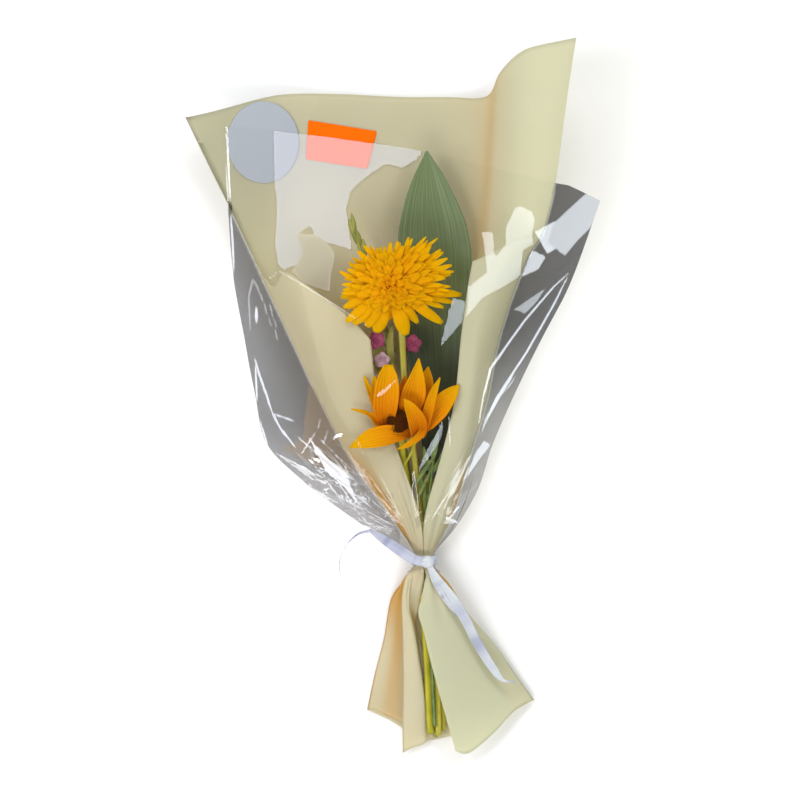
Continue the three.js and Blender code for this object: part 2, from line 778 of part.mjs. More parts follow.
const spikePath = [
  p3(27.8, -265, 5.7),
  p3(26.4, -200, 6.4),
  p3(neck.x - 0.4, neck.y, neck.z - 4.3),
  p3(13.4, -92, 9),
  p3(4, -40, 16),
  p3(-3, 10, 21),
  p3(-8.6, 45, 24),
  p3(-20, 86, 26.5),
  p3(-31, 118, 29),
  p3(-37.5, 136, 31),
];

const spikeCurve = new THREE.CatmullRomCurve3(spikePath, false, "centripetal");

// the share of a rising curve's length at which it passes a given height of the bouquet
function nearestShare(curve, y) {
  let low = 0;
  let high = 1;
  for (let step = 0; step < 20; step++) {
    const middle = (low + high) / 2;
    if (curve.getPoint(middle).y < y) low = middle;
    else high = middle;
  }
  return low;
}

function spikeStem() {
  const pieces = [stem(spikePath, 1.7, 6, 22)];
  for (const { x, y, z, size } of florets) {
    const from = spikeCurve.getPoint(nearestShare(spikeCurve, y - 6));
    pieces.push(stem([from, p3(x, y, z - 0.8 * size - 2), p3(x, y, z - 0.75 * size - 0.35)], 1, 5, 4));
  }
  const tips = [
    [p3(-33, 122, 29.5), p3(-40, 141, 33), 2.6],
    [p3(-28, 109, 28.4), p3(-29, 126, 33), 2.2],
    [p3(-31, 118, 29), p3(-34, 133, 35), 2],
  ];
  for (const [root, tip, half] of tips) {
    const middle = root.clone().lerp(tip, 0.5);
    const widths = [half * 0.6, half, half, half * 0.25];
    pieces.push(blade([root, middle, tip], p3(1, 0.1, 0.2), widths, 0.3, 0.9, 5));
  }
  const leaves = [
    [p3(-3, 12, 21.2), p3(-13, 30, 23), p3(-20, 44, 22)],
    [p3(-5, 25, 22.4), p3(-8, 44, 29), p3(-6, 60, 30.6)],
    [p3(-2.4, 6, 20.6), p3(-13, 20, 25), p3(-21, 30, 27)],
  ];
  for (const list of leaves) {
    pieces.push(blade(list, p3(0.8, 0.5, 0.1), [1, 2.8, 2.6, 0.6], 0.2, 0.8, 5));
  }
  return fuse(pieces);
}

// Each floret: a short cup with five rounded lobes
function floret({ x, y, z, size }) {
  const cup = new THREE.ConeGeometry(size * 0.34, size * 0.9, 7, 1);
  cup.rotateX(-Math.PI / 2).translate(x, y, z - size * 0.3);
  const pieces = [cup];
  for (let k = 0; k < 5; k++) {
    const turn = (2 * Math.PI * k) / 5 + 0.4;
    const out = p3(Math.cos(turn), Math.sin(turn), 0);
    const root = p3(x, y, z - 0.6).addScaledVector(out, size * 0.1);
    const middle = p3(x, y, z + 1.4).addScaledVector(out, size * 0.6);
    const tip = p3(x, y, z + 0.6).addScaledVector(out, size);
    pieces.push(petal(root, middle, tip, p3(-Math.sin(turn), Math.cos(turn), 0), size * 0.8, 1));
  }
  return fuse(pieces);
}

// Narrow greenery
function greenery(path, radius, leaves) {
  const pieces = [stem(path, radius, 6, 14)];
  for (const [root, middle, tip, half] of leaves) {
    pieces.push(blade([root, middle, tip], p3(1, 0.2, 0), [half * 0.5, half, half * 0.9, 0.5], 0.15, 0.8, 5));
  }
  return fuse(pieces);
}

const rightGreenery = () =>
  greenery(
    [
      p3(27.2, -256, 14.6),
      p3(24.4, -200, 15.4),
      p3(neck.x - 0.6, neck.y, neck.z + 6.1),
      p3(21.5, -92, 22),
      p3(24, -64, 25),
      p3(26, -44, 27),
    ],
    1.5,
    [
      [p3(25.6, -47, 26.7), p3(27.5, -36, 28.4), p3(29.5, -24, 31), 2.3],
      [p3(24.6, -57, 26), p3(32, -47, 29), p3(35, -36, 31), 2.2],
      [p3(24.6, -57, 25.6), p3(20.5, -47, 28.5), p3(18.5, -36, 30), 2.2],
      [p3(22.6, -80, 23.4), p3(17, -68, 26.5), p3(15.5, -56, 28), 2],
    ],
  );

const leftGreenery = () =>
  greenery(
    [
      p3(neck.x - 4.6, -141, 8.4),
      p3(neck.x - 4.4, neck.y, neck.z - 3.8),
      p3(8, -92, 9),
      p3(-1, -60, 12),
      p3(-7, -36, 14),
    ],
    1.5,
    [
      [p3(-6.6, -38, 14), p3(-10, -25, 15.5), p3(-13, -10, 17), 2.4],
      [p3(-3.6, -50, 13), p3(-12, -41, 14.5), p3(-19, -31, 16), 2.2],
    ],
  );

// Scene graph
const bouquet = new THREE.Group();

function add(name, geometry, colour, roughness, extra = {}) {
  geometry.computeVertexNormals();
  const material = new THREE.MeshStandardMaterial({ color: colour, roughness, metalness: 0, ...extra });
  const mesh = new THREE.Mesh(geometry, material);
  mesh.name = name;
  bouquet.add(mesh);
}

add("wrap_paper", paperBack.geometry, colours.paper, 0.7);
add("cellophane_film", sheet(filmGrid, filmThick), colours.film, 0.1, { transparent: true, opacity: 0.3 });
add("ribbon_tie", ribbon(), colours.ribbon, 0.35);
add("round_sticker", sticker(sealOutline(), [1, 0.66, 0.33]), colours.seal, 0.4);
add("orange_label", sticker(labelOutline(), [1, 0.5]), colours.label, 0.5);
add("chrysanthemum_petals", chrysanthemumPetals(), colours.yellow, 0.6);
add("chrysanthemum_stem", chrysanthemumStem(), colours.stem, 0.6);
add("sunflower_rays", sunflowerRays(), colours.ray, 0.6);
add("sunflower_disc", sunflowerDisc(), colours.disc, 0.9);
add("sunflower_stem", sunflowerStem(), colours.greenery, 0.6);
add("aspidistra_leaf", aspidistraLeaf(), colours.leaf, 0.45);
add("spike_stem", spikeStem(), colours.bud, 0.6);
florets.forEach((each, index) => {
  add("spike_floret_" + (index + 1), floret(each), each.colour, 0.6);
});
add("greenery_1", rightGreenery(), colours.greenery, 0.6);
add("greenery_2", leftGreenery(), colours.greenery, 0.6);

// The origin is the middle of the box's underside, on the surface that the bouquet lies on
const box = new THREE.Box3().setFromObject(bouquet);
const middle = box.getCenter(p3());
bouquet.position.set(-middle.x, -middle.y, -box.min.z);

export default bouquet;
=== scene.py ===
import math
from functools import partial

import bpy
import numpy as np
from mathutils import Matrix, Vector, noise
from mathutils.bvhtree import BVHTree


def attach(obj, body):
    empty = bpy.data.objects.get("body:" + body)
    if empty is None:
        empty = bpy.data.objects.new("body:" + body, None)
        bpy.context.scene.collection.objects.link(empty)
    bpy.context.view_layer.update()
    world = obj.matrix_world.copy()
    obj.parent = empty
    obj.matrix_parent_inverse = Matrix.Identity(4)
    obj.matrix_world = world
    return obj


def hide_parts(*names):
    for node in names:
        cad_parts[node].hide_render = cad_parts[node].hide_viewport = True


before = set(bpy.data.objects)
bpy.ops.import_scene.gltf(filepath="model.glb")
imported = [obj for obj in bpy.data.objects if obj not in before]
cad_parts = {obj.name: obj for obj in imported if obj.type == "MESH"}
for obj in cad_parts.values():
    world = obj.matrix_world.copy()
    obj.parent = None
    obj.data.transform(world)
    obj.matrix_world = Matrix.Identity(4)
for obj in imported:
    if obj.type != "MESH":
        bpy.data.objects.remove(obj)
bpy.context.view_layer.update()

# sizes are in millimetres from the middle of the picture, with +y towards the flowers and z up from the table
middle = np.array([4.276, -1.505, 0.0])
metre = 0.001
fullTurn = 2 * math.pi
goldenAngle = math.radians(137.508)
# where the ribbon ties the bouquet; rows of the sheets stand closer there, and have soft folds beside it
neck = {"x": 18.7, "y": -125.6, "z": 11.5, "half": 5, "crowding": 1.25, "softRows": (-2, 6)}

# numbers of the sockets of a Mix node that is set to colour
colourMix = {"data_type": "RGBA"}
mixShare, mixFirst, mixSecond, mixResult = 0, 6, 7, 2


# a colour as painters write it, turned to the linear values that shaders use
def linear(code):
    parts = [int(code[k:k + 2], 16) / 255 for k in (1, 3, 5)]
    return tuple(c / 12.92 if c <= 0.04045 else ((c + 0.055) / 1.055) ** 2.4 for c in parts) + (1.0,)


def mix(a, b, share):
    return a + (b - a) * share


def ease(low, high, value):
    t = np.clip((np.asarray(value, float) - low) / (high - low), 0, 1)
    return t * t * (3 - 2 * t)


# rises over one pair of values and falls again over another
def plateau(value, rise, fall):
    return ease(*rise, value) * (1 - ease(*fall, value))


# 1 at its centre, fading away on both sides
def hump(value, centre, width):
    return np.exp(-((value - centre) / width) ** 2)


def unit(v):
    return v / np.maximum(np.linalg.norm(v, axis=-1, keepdims=True), 1e-9)


# level directions at a turn round the upright axis: away from the axis, and along the circle
def outward(turn):
    return np.array([math.cos(turn), math.sin(turn), 0.0])


def sideways(turn):
    return np.array([-math.sin(turn), math.cos(turn), 0.0])


# adds a shader node with its settings, values, links and colour stops, and gives back one of its outputs
def addNode(tree, kind, settings=None, values=None, links=None, stops=(), out=0):
    node = tree.nodes.new("ShaderNode" + kind)
    for name, value in (settings or {}).items():
        setattr(node, name, value)
    for name, value in (values or {}).items():
        node.inputs[name].default_value = value
    for name, output in (links or {}).items():
        tree.links.new(output, node.inputs[name])
    for k, (place, code) in enumerate(stops):
        element = node.color_ramp.elements[k] if k < 2 else node.color_ramp.elements.new(place)
        element.position = place
        element.color = linear(code)
    return node.outputs[out] if node.outputs else node


# an empty material, and the function that adds nodes to it
def newMaterial(name):
    material = bpy.data.materials.new(name)
    material.use_nodes = True
    material.node_tree.nodes.clear()
    return material, partial(addNode, material.node_tree)


# a centripetal curve through the points, at places from 0 to 1
def curveThrough(points, places):
    p = np.asarray(points, float)
    q = np.vstack([2 * p[0] - p[1], p, 2 * p[-1] - p[-2]])
    at = np.clip(np.asarray(places, float), 0, 1) * (len(p) - 1)
    k = np.minimum(at.astype(int), len(p) - 2)
    return between(q[k], q[k + 1], q[k + 2], q[k + 3], (at - k)[:, None])


def between(p0, p1, p2, p3, w):
    gaps = [np.sqrt(np.linalg.norm(b - a, axis=-1, keepdims=True)) for a, b in ((p0, p1), (p1, p2), (p2, p3))]
    d1 = np.where(gaps[1] < 1e-4, 1.0, gaps[1])
    d0 = np.where(gaps[0] < 1e-4, d1, gaps[0])
    d2 = np.where(gaps[2] < 1e-4, d1, gaps[2])
    t1 = ((p1 - p0) / d0 - (p2 - p0) / (d0 + d1)) * d1 + (p2 - p1)
    t2 = (p2 - p1) - ((p3 - p1) / (d1 + d2) - (p3 - p2) / d2) * d1
    a = 2 * (p1 - p2) + t1 + t2
    b = -3 * p1 + 3 * p2 - 2 * t1 - t2
    return p1 + w * (t1 + w * (b + w * a))


def gridNormals(grid):
    return unit(np.cross(np.gradient(grid, axis=0), np.gradient(grid, axis=1)))


# the faces of a grid of points, four corners each
def gridFaces(rows, cols):
    corner = (np.arange(rows - 1)[:, None] * cols + np.arange(cols - 1)).ravel()
    return np.stack([corner, corner + cols, corner + cols + 1, corner + 1], 1)


# a thin shell: both faces of a grid of points and the rim between them
def shellOf(grid, thick, tone=0.5, extra=None):
    rows, cols = grid.shape[:2]
    lift = gridNormals(grid) * thick / 2
    n = rows * cols
    points = np.concatenate([(grid + lift).reshape(-1, 3), (grid - lift).reshape(-1, 3)])
    upper = gridFaces(rows, cols)
    left, right = np.arange(rows) * cols, np.arange(1, cols)
    ring = np.concatenate([left, left[-1] + right, left[::-1][1:] + cols - 1, right[:-1][::-1]])
    after = np.roll(ring, -1)
    walls = np.stack([after, ring, ring + n, after + n], 1)
    along = np.repeat(np.linspace(0, 1, rows), cols)
    across = np.tile(np.linspace(-1, 1, cols), rows)
    marks = {"along": along, "across": across, "tone": np.full(n, tone)}
    marks.update({name: np.asarray(value, float).ravel() for name, value in (extra or {}).items()})
    marks = {name: np.tile(value, 2) for name, value in marks.items()}
    return points, np.concatenate([upper, upper[:, ::-1] + n, walls]), marks


# a round stalk along a line of points, closed at both ends
def tubeOf(line, radii, sides=12, tone=0.5):
    line = np.asarray(line, float)
    rows = len(line)
    tangent = unit(np.gradient(line, axis=0))
    side = unit(np.cross(tangent, np.array([0.13, 0.07, 1.0])))  # any direction that no stalk runs along
    up = np.cross(side, tangent)
    turn = np.linspace(0, fullTurn, sides, endpoint=False)
    radii = np.broadcast_to(np.asarray(radii, float).reshape(-1, 1, 1), (rows, 1, 1))
    ring = np.cos(turn)[None, :, None] * side[:, None] + np.sin(turn)[None, :, None] * up[:, None]
    points = (line[:, None] + ring * radii).reshape(-1, 3)
    i, j = np.meshgrid(np.arange(rows - 1), np.arange(sides), indexing="ij")
    a, b = (i * sides + j).ravel(), (i * sides + (j + 1) % sides).ravel()
    faces = np.stack([a, b, b + sides, a + sides], 1)
    first, last = len(points), len(points) + 1
    k = np.arange(sides)
    after = (k + 1) % sides
    base = (rows - 1) * sides
    start = np.stack([after, k, np.full(sides, first)], 1)
    finish = np.stack([base + k, base + after, np.full(sides, last)], 1)
    points = np.vstack([points, line[0], line[-1]])
    along = np.append(np.repeat(np.linspace(0, 1, rows), sides), [0, 1])
    across = np.append(np.tile(np.linspace(-1, 1, sides), rows), [0, 0])
    marks = {"along": along, "across": across, "tone": np.full(len(points), tone)}
    return points, [*faces.tolist(), *start.tolist(), *finish.tolist()], marks


# a shape turned round an upright axis, from a profile of distances and heights
def turnedShape(profile, rows, cols, centre):
    line = curveThrough([(reach, 0, height) for reach, height in profile], np.linspace(0, 1, rows))
    turns = np.linspace(0, fullTurn, cols)
    wide, high = line[:, 0], np.repeat(line[:, 2:], cols, axis=1)
    return np.stack([np.outer(wide, np.cos(turns)), np.outer(wide, np.sin(turns)), high], axis=2) + centre


# a blade along a list of points: a petal, leaf or bract, with its margins raised by its cup
def bladeOf(line, side, halves, cup=0.2, thick=0.5, rows=12, cols=7, tone=0.5, curl=0, wave=0, crease=0):
    places = np.linspace(0, 1, rows)
    spine = curveThrough(line, places)
    half = np.maximum(curveThrough([(k, h, 0) for k, h in enumerate(halves)], places)[:, 1], 0.15)
    tangent = unit(np.gradient(spine, axis=0))
    side = unit(np.broadcast_to(np.asarray(side, float), spine.shape))
    side = unit(side - tangent * np.sum(side * tangent, axis=1, keepdims=True))
    up = np.cross(side, tangent)
    up = up * np.where(up[:, 2:] < 0, -1, 1)
    share = np.linspace(-1, 1, cols)
    turn = curl * places[:, None]
    across = side[:, None] * np.cos(turn)[..., None] + up[:, None] * np.sin(turn)[..., None]
    raised = cup * half[:, None] * mix(share**2, np.abs(share), crease)
    lift = raised + wave * np.sin(9 * places[:, None] + 2 * tone) * share
    grid = spine[:, None] + across * (half[:, None] * share)[..., None] + up[:, None] * lift[..., None]
    return shellOf(grid, thick, tone)


# joins shells into one object of the scene, in metres, riding on the part's only body
def makePiece(name, shells, material, nodes):
    points, faces, marks, base = [], [], {}, 0
    for shellPoints, shellFaces, shellMarks in shells:
        points.append(shellPoints)
        faces.extend((np.asarray(face) + base).tolist() for face in shellFaces)
        for key, value in shellMarks.items():
            marks.setdefault(key, []).append(value)
        base += len(shellPoints)
    mesh = bpy.data.meshes.new(name)
    mesh.from_pydata(((np.concatenate(points) + middle) * metre).tolist(), [], faces)
    for key, value in marks.items():
        mark = mesh.attributes.new(key, "FLOAT", "POINT")
        mark.data.foreach_set("value", np.concatenate(value).astype(np.float32))
    mesh.shade_smooth()
    mesh.materials.append(material)
    piece = bpy.data.objects.new(name, mesh)
    bpy.context.scene.collection.objects.link(piece)
    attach(piece, "root")
    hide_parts(*nodes)
    print("made", name, len(mesh.polygons), "faces")
    return piece


# smooth random height at each point of a grid, the same on every run
def roughness(grid, size, seed):
    flat = grid.reshape(-1, 3) / size + seed
    return np.array([noise.noise(Vector(p)) for p in flat]).reshape(grid.shape[:2])


print("camera and light")

# the picture is 624 mm wide at the bouquet, taken from straight above with a long lens; sizes in metres
camera = {"distance": 5.0, "width": 0.624, "height": 0.04, "sensor": 36, "clipEnd": 50}
eye = bpy.data.cameras.new("camera")
eye.sensor_width = camera["sensor"]
eye.lens = camera["sensor"] * camera["distance"] / camera["width"]
eye.clip_end = camera["clipEnd"]
eyeObject = bpy.data.objects.new("camera", eye)
eyeObject.location = (*(middle[:2] * metre), camera["height"] + camera["distance"])
bpy.context.scene.collection.objects.link(eyeObject)
bpy.context.scene.camera = eyeObject
bpy.context.scene.view_settings.view_transform = "Standard"

# each lamp's bearing from +x and height above the table in degrees, its distance and size in metres, its
# brightness and its tint
lamps = {
    "window": (168, 59, 1.7, (0.5, 0.5), 8.8, "#f0f4ff"),
    "sideWindow": (25, 52, 1.8, (0.45, 0.6), 8.8, "#eaf5ff"),
    "frontPanel": (262, 46, 2.2, (1.5, 1.0), 4.4, "#fffaf2"),
    "topPanel": (85, 46, 2.2, (1.5, 0.9), 4.1, "#fffdf8"),
    "leftPanel": (200, 38, 2.0, (1.0, 0.8), 3.8, "#fbfbff"),
}
lampsAimAt = Vector((0, 0.05, 0.05))  # the flowers, in metres


def lampDirection(name):
    bearing, height = (math.radians(angle) for angle in lamps[name][:2])
    level = math.cos(height)
    return Vector((math.cos(bearing) * level, math.sin(bearing) * level, math.sin(height)))


for lampName, (_, _, away, size, strength, tint) in lamps.items():
    light = bpy.data.lights.new(lampName, "AREA")
    light.shape = "RECTANGLE"
    light.size, light.size_y = size
    light.color = linear(tint)[:3]
    light.energy = strength * math.pi * light.size * light.size_y
    lampObject = bpy.data.objects.new(lampName, light)
    toward = lampDirection(lampName)
    lampObject.location = toward * away + lampsAimAt
    lampObject.rotation_mode = "QUATERNION"
    lampObject.rotation_quaternion = toward.to_track_quat("Z", "Y")
    lampObject.visible_camera = False
    bpy.context.scene.collection.objects.link(lampObject)

# an even pale room, dark only straight overhead where the camera looks in
roomTones = [(0.0, "#b4b6b8"), (0.74, "#b0b2b4"), (0.86, "#3c3c3e"), (1.0, "#2c2c2e")]
roomStrength = 1.25
world = bpy.data.worlds.new("studio")
world.use_nodes = True
room = world.node_tree
direction = addNode(room, "TexCoord", out="Generated")
upward = addNode(room, "SeparateXYZ", links={0: direction}, out="Z")
roomColour = addNode(room, "ValToRGB", links={"Fac": upward}, stops=roomTones)
room.links.new(roomColour, room.nodes["Background"].inputs["Color"])
room.nodes["Background"].inputs["Strength"].default_value = roomStrength
bpy.context.scene.world = world

board = {"half": 9, "height": -0.0004}  # metres


# matte painted board: pale, even and without shine, so that only soft contact shadows show
def paintedBoard():
    material, add = newMaterial("painted board, rolled matte")
    speck = add("TexNoise", values={"Scale": 900.0, "Detail": 2.0})  # roller stipple of 1 mm
    shade = add("ValToRGB", links={"Fac": speck}, stops=[(0.3, "#f5f4f3"), (0.7, "#f6f5f4")])
    shader = add("BsdfPrincipled", values={"Roughness": 0.9, "Specular IOR Level": 0.1},
                 links={"Base Color": shade})
    add("OutputMaterial", links={"Surface": shader})
    return material


floorMesh = bpy.data.meshes.new("floor")
floorCorners = [(x * board["half"], y * board["half"], board["height"])
                for x, y in ((-1, -1), (1, -1), (1, 1), (-1, 1))]
floorMesh.from_pydata(floorCorners, [], [(0, 1, 2, 3)])
floorMesh.materials.append(paintedBoard())
floor = bpy.data.objects.new("floor", floorMesh)
bpy.context.scene.collection.objects.link(floor)

print("wrap")


def neckPoint(angle, radius, along=0.0):
    turn = math.radians(angle)
    return [neck["x"] + radius * math.cos(turn), neck["y"] + along, neck["z"] + radius * math.sin(turn)]


# a guide runs from the hem below the tie, through the neck, to the rim; reach is measured from the neck
def guideLine(angle, below, above, radius, perSpan=30):
    tied = [neckPoint(angle, radius, along) for along in (-neck["half"], 0, neck["half"])]
    points = [*below[::-1], *tied, *above]
    path = curveThrough(points, np.linspace(0, 1, perSpan * (len(points) - 1) + 1))
    lengths = np.append(0, np.cumsum(np.linalg.norm(np.diff(path, axis=0), axis=1)))
    atNeck = lengths[perSpan * (len(below) + 1)]
    return {"path": path, "lengths": lengths, "atNeck": atNeck, "down": atNeck, "up": lengths[-1] - atNeck}


def alongGuide(line, reach):
    place = line["atNeck"] + reach
    held = np.clip(place, 0, line["lengths"][-1])
    spot = np.stack([np.interp(held, line["lengths"], line["path"][:, axis]) for axis in range(3)], -1)
    last = unit(line["path"][-1] - line["path"][-3])
    first = unit(line["path"][2] - line["path"][0])
    return spot + (place - held)[..., None] * np.where((place > held)[..., None], last, first)


def hermite(values, places):
    v = np.asarray(values, float)
    slope = np.gradient(v)
    slope[0] = 1.5 * (v[1] - v[0]) - 0.5 * slope[1]
    slope[-1] = 1.5 * (v[-1] - v[-2]) - 0.5 * slope[-2]
    k = np.minimum(places.astype(int), len(v) - 2)
    w = places - k
    a, b, m, n = v[k], v[k + 1], slope[k], slope[k + 1]
    return a + w * (m + w * ((3 * (b - a) - 2 * m - n) + w * (2 * (a - b) + m + n)))


# whole lengths between guides: smooth, but with a true corner at each corner guide
def rimLengths(values, corners, places):
    result = np.zeros(len(places))
    for a, b in zip(corners[:-1], corners[1:]):
        inside = (places >= a) & (places <= b)
        if b - a == 1:
            result[inside] = mix(values[a], values[b], places[inside] - a)
        else:
            result[inside] = hermite(values[a:b + 1], places[inside] - a)
    return result


# the sheet's grid of points, and each point's place among the guides and share of the way to the rim
def wrappedGrid(sheet, guides, places):
    lines = [guideLine(angle, below, above, sheet["radius"]) for angle, below, above in guides]
    down, up = (rimLengths([line[way] for line in lines], corners, places)
                for way, corners in sheet["corners"].items())
    steps = np.arange(-sheet["rowsDown"], sheet["rowsUp"] + 1)
    rows = np.where(steps < 0, sheet["rowsDown"], sheet["rowsUp"])
    share = np.maximum(0, (np.abs(steps) - 1) / (rows - 1)) ** neck["crowding"]
    whole = np.where((steps < 0)[:, None], down[None], up[None])
    reach = np.sign(steps)[:, None] * mix(neck["half"], whole, share[:, None])
    level = np.stack([alongGuide(line, reach) for line in lines])
    padded = np.concatenate([2 * level[:1] - level[1:2], level, 2 * level[-1:] - level[-2:-1]])
    k = np.minimum(places.astype(int), len(lines) - 2)
    cols = np.arange(len(places))
    four = [padded[k + shift, :, cols].transpose(1, 0, 2) for shift in range(4)]
    weight = (places - k)[None, :, None]
    grid = between(*four, weight)
    straight = mix(four[1], four[2], weight)
    away = (steps < neck["softRows"][0]) | (steps > neck["softRows"][1])
    for guide, amount in sheet["sharp"]:
        near = amount * (1 - ease(0.1, 0.8, np.abs(places - guide)))[None, :, None]
        grid = np.where(away[:, None, None], mix(grid, straight, near), grid)
    grid[..., 2] = np.maximum(grid[..., 2], sheet["thick"] / 2)
    shares = (np.sign(steps) * share)[:, None]
    return grid, np.broadcast_to(places, grid.shape[:2]), np.broadcast_to(shares, grid.shape[:2])


# paper guides: bearing at the neck, points below the tie, points above it
paperGuides = [
    (92, [[19, -136, 18.4], [17.6, -148, 15.4], [15.6, -160, 10], [12.6, -174, 6.4], [15, -188, 4.6],
          [25, -212, 3.2], [43, -264, 2.8]],
     [[16.0, -93.6, 31], [-1.6, -40.6, 36], [-16.5, -1.6, 38], [-23, 47, 41]]),
    (115, [[11.4, -137, 20], [7.8, -149, 16.6], [7.4, -162, 12], [11.6, -178, 7], [19.6, -225, 4],
          [25, -266, 3]],
     [[9.8, -93.6, 31.6], [-8, -40.6, 37.5], [-27, -1.6, 40], [-41, 66, 44]]),
    (132, [[8.8, -138, 19], [5.6, -158, 16.4], [9.8, -178, 16], [15.4, -212, 13], [18, -234, 11],
          [18.5, -270, 6]],
     [[5.4, -93.6, 31.5], [-17, -40.6, 38], [-39, -1.6, 41], [-58, 79, 47]]),
    (150, [[5.5, -139, 18], [2.3, -156, 16], [2.3, -187, 13.5], [2.3, -226, 11], [2.3, -277, 7.4]],
     [[0.8, -93.6, 29], [-28, -40.6, 36], [-52.3, -1.6, 40], [-78, 92.8, 46]]),
    (168, [[5, -139, 15.4], [5.5, -156, 10.4], [8.6, -187, 6.8], [11.5, -226, 5], [13.5, -262, 2.9]],
     [[-3.1, -93.6, 23], [-38.2, -40.6, 29], [-60.1, -1.6, 32], [-90.5, 100.6, 38]]),
    (190, [[4.4, -139, 12.6], [0, -156, 7], [-3.9, -187, 4.8], [-9.4, -226, 3.4], [-12, -247, 2.8]],
     [[-4.7, -93.6, 15], [-42.1, -40.6, 19], [-62.4, -1.6, 20], [-107.6, 97.5, 25]]),
    (210, [[4.6, -140, 9.6], [-6.2, -154.4, 5.2], [-12.5, -187, 3.2], [-20.3, -218, 2.2],
          [-25.7, -243.4, 1.8]],
     [[-3.1, -93.6, 8], [-39.8, -40.6, 9], [-60.1, -1.6, 9.5], [-115, 112, 19], [-167.7, 220.7, 34]]),
    (232, [[7.8, -140, 6.6], [3.9, -164, 2.3], [-1.6, -195, 1.2], [-5.5, -226, 0.8], [-9.4, -251, 0.6]],
     [[3.1, -93.6, 3.6], [-26.5, -40.6, 3.2], [-42.9, -1.6, 3], [-72, 117, 4.5], [-97.5, 239, 12]]),
    (252, [[12.4, -141, 4.6], [11.7, -165, 1.5], [10.9, -195, 0.9], [9.4, -226, 0.6], [7.8, -261, 0.5]],
     [[10.1, -93.6, 2.5], [-9.4, -40.6, 2], [-19.5, -1.6, 1.9], [-39, 117, 1.9], [-56, 240.5, 4]]),
    (270, [[18.7, -141, 3.6], [20.3, -165, 1.2], [22.6, -195, 0.7], [23.4, -226, 0.5], [25, -267, 0.5]],
     [[17.2, -93.6, 2.2], [7.8, -40.6, 1.9], [2.3, -1.6, 1.8], [-2.3, 117, 1.8], [-4, 238.3, 2.6]]),
    (288, [[25, -141, 4.6], [31.2, -165, 1.5], [35.9, -195, 0.7], [40.6, -226, 0.5], [46.8, -261, 0.5]],
     [[24.2, -93.6, 2.5], [24.2, -40.6, 2.2], [23.4, -1.6, 2.2], [28.9, 117, 3], [36.7, 238, 4.4]]),
    (308, [[30.4, -141, 6.8], [40.6, -165, 2.4], [49.9, -195, 1.3], [57.7, -226, 0.9], [64.7, -256, 0.7]],
     [[29.6, -93.6, 3.4], [37.4, -40.6, 4], [40.6, -1.6, 5], [57.7, 117, 8], [67.9, 238.3, 11]]),
    (325, [[34, -141, 9], [47.6, -167, 4], [60.8, -195, 2.3], [70.2, -226, 1.6], [78, -251, 1.2]],
     [[33.5, -93.6, 6], [44.5, -40.6, 8.5], [49.9, -1.6, 11.5], [69.4, 117, 25], [78, 256, 32]]),
    (340, [[35.5, -142, 11.2], [52.3, -168.5, 6], [67.1, -195, 3.8], [80.3, -226, 2.8], [89.7, -244, 2.3]],
     [[36.7, -93.6, 10.5], [50.7, -40.6, 15.5], [58.5, -1.6, 20.5], [81.9, 117, 47], [97, 272, 62]]),
    (355, [[36.6, -143, 13.6], [55.4, -170, 9], [74.1, -191, 6.8], [92.8, -218.4, 5.2], [105.3, -235.6, 4.6]],
     [[38.2, -93.6, 16.5], [54.6, -40.6, 23.5], [64, -1.6, 31], [97, 125, 66], [136.5, 280, 86]]),
    (375, [[35.6, -143.4, 16.4], [51.5, -170, 14.4], [65.5, -195, 12.6], [80.3, -224.6, 11.5],
          [89.7, -244, 11.5]],
     [[39, -93.6, 22.5], [55.4, -40.6, 30.5], [67.1, -1.6, 38.5], [78, 50.7, 50], [99, 110, 70],
      [110.5, 128, 77], [114.5, 142, 80]]),
    (393, [[33.2, -143.5, 19], [43.7, -170, 17.4], [54.6, -199, 15.8], [65.5, -230, 14.8],
          [73.5, -261, 14.4]],
     [[35.9, -93.6, 28.4], [51.5, -40.6, 36.5], [60.8, -1.6, 43.5], [68.6, 50.7, 58], [80.3, 103, 75],
      [88, 122.5, 80]]),
    (416, [[26, -143.5, 21.4], [33.5, -170, 19.4], [41.3, -203, 18.6], [48.6, -238, 17.8],
          [53.6, -276.6, 16.6]],
     [[29.6, -93.6, 32.6], [45.2, -40.6, 40], [53.8, -1.6, 47.5], [59.3, 50.7, 61], [65.5, 89.7, 71],
      [70.2, 113.9, 76]]),
    (449, [[20.4, -137, 21.4], [19, -144, 21.6], [16.6, -156, 21.2], [14.2, -166.5, 20.8], [18.4, -181, 20.8],
           [22.6, -199, 21], [31.2, -231.7, 21], [43.5, -275, 18.6]],
     [[19.0, -93.6, 33], [33, -40.6, 40], [42.1, -1.6, 46], [47.6, 50.7, 57], [52.3, 85.8, 64],
      [56.2, 107.6, 69]]),
]

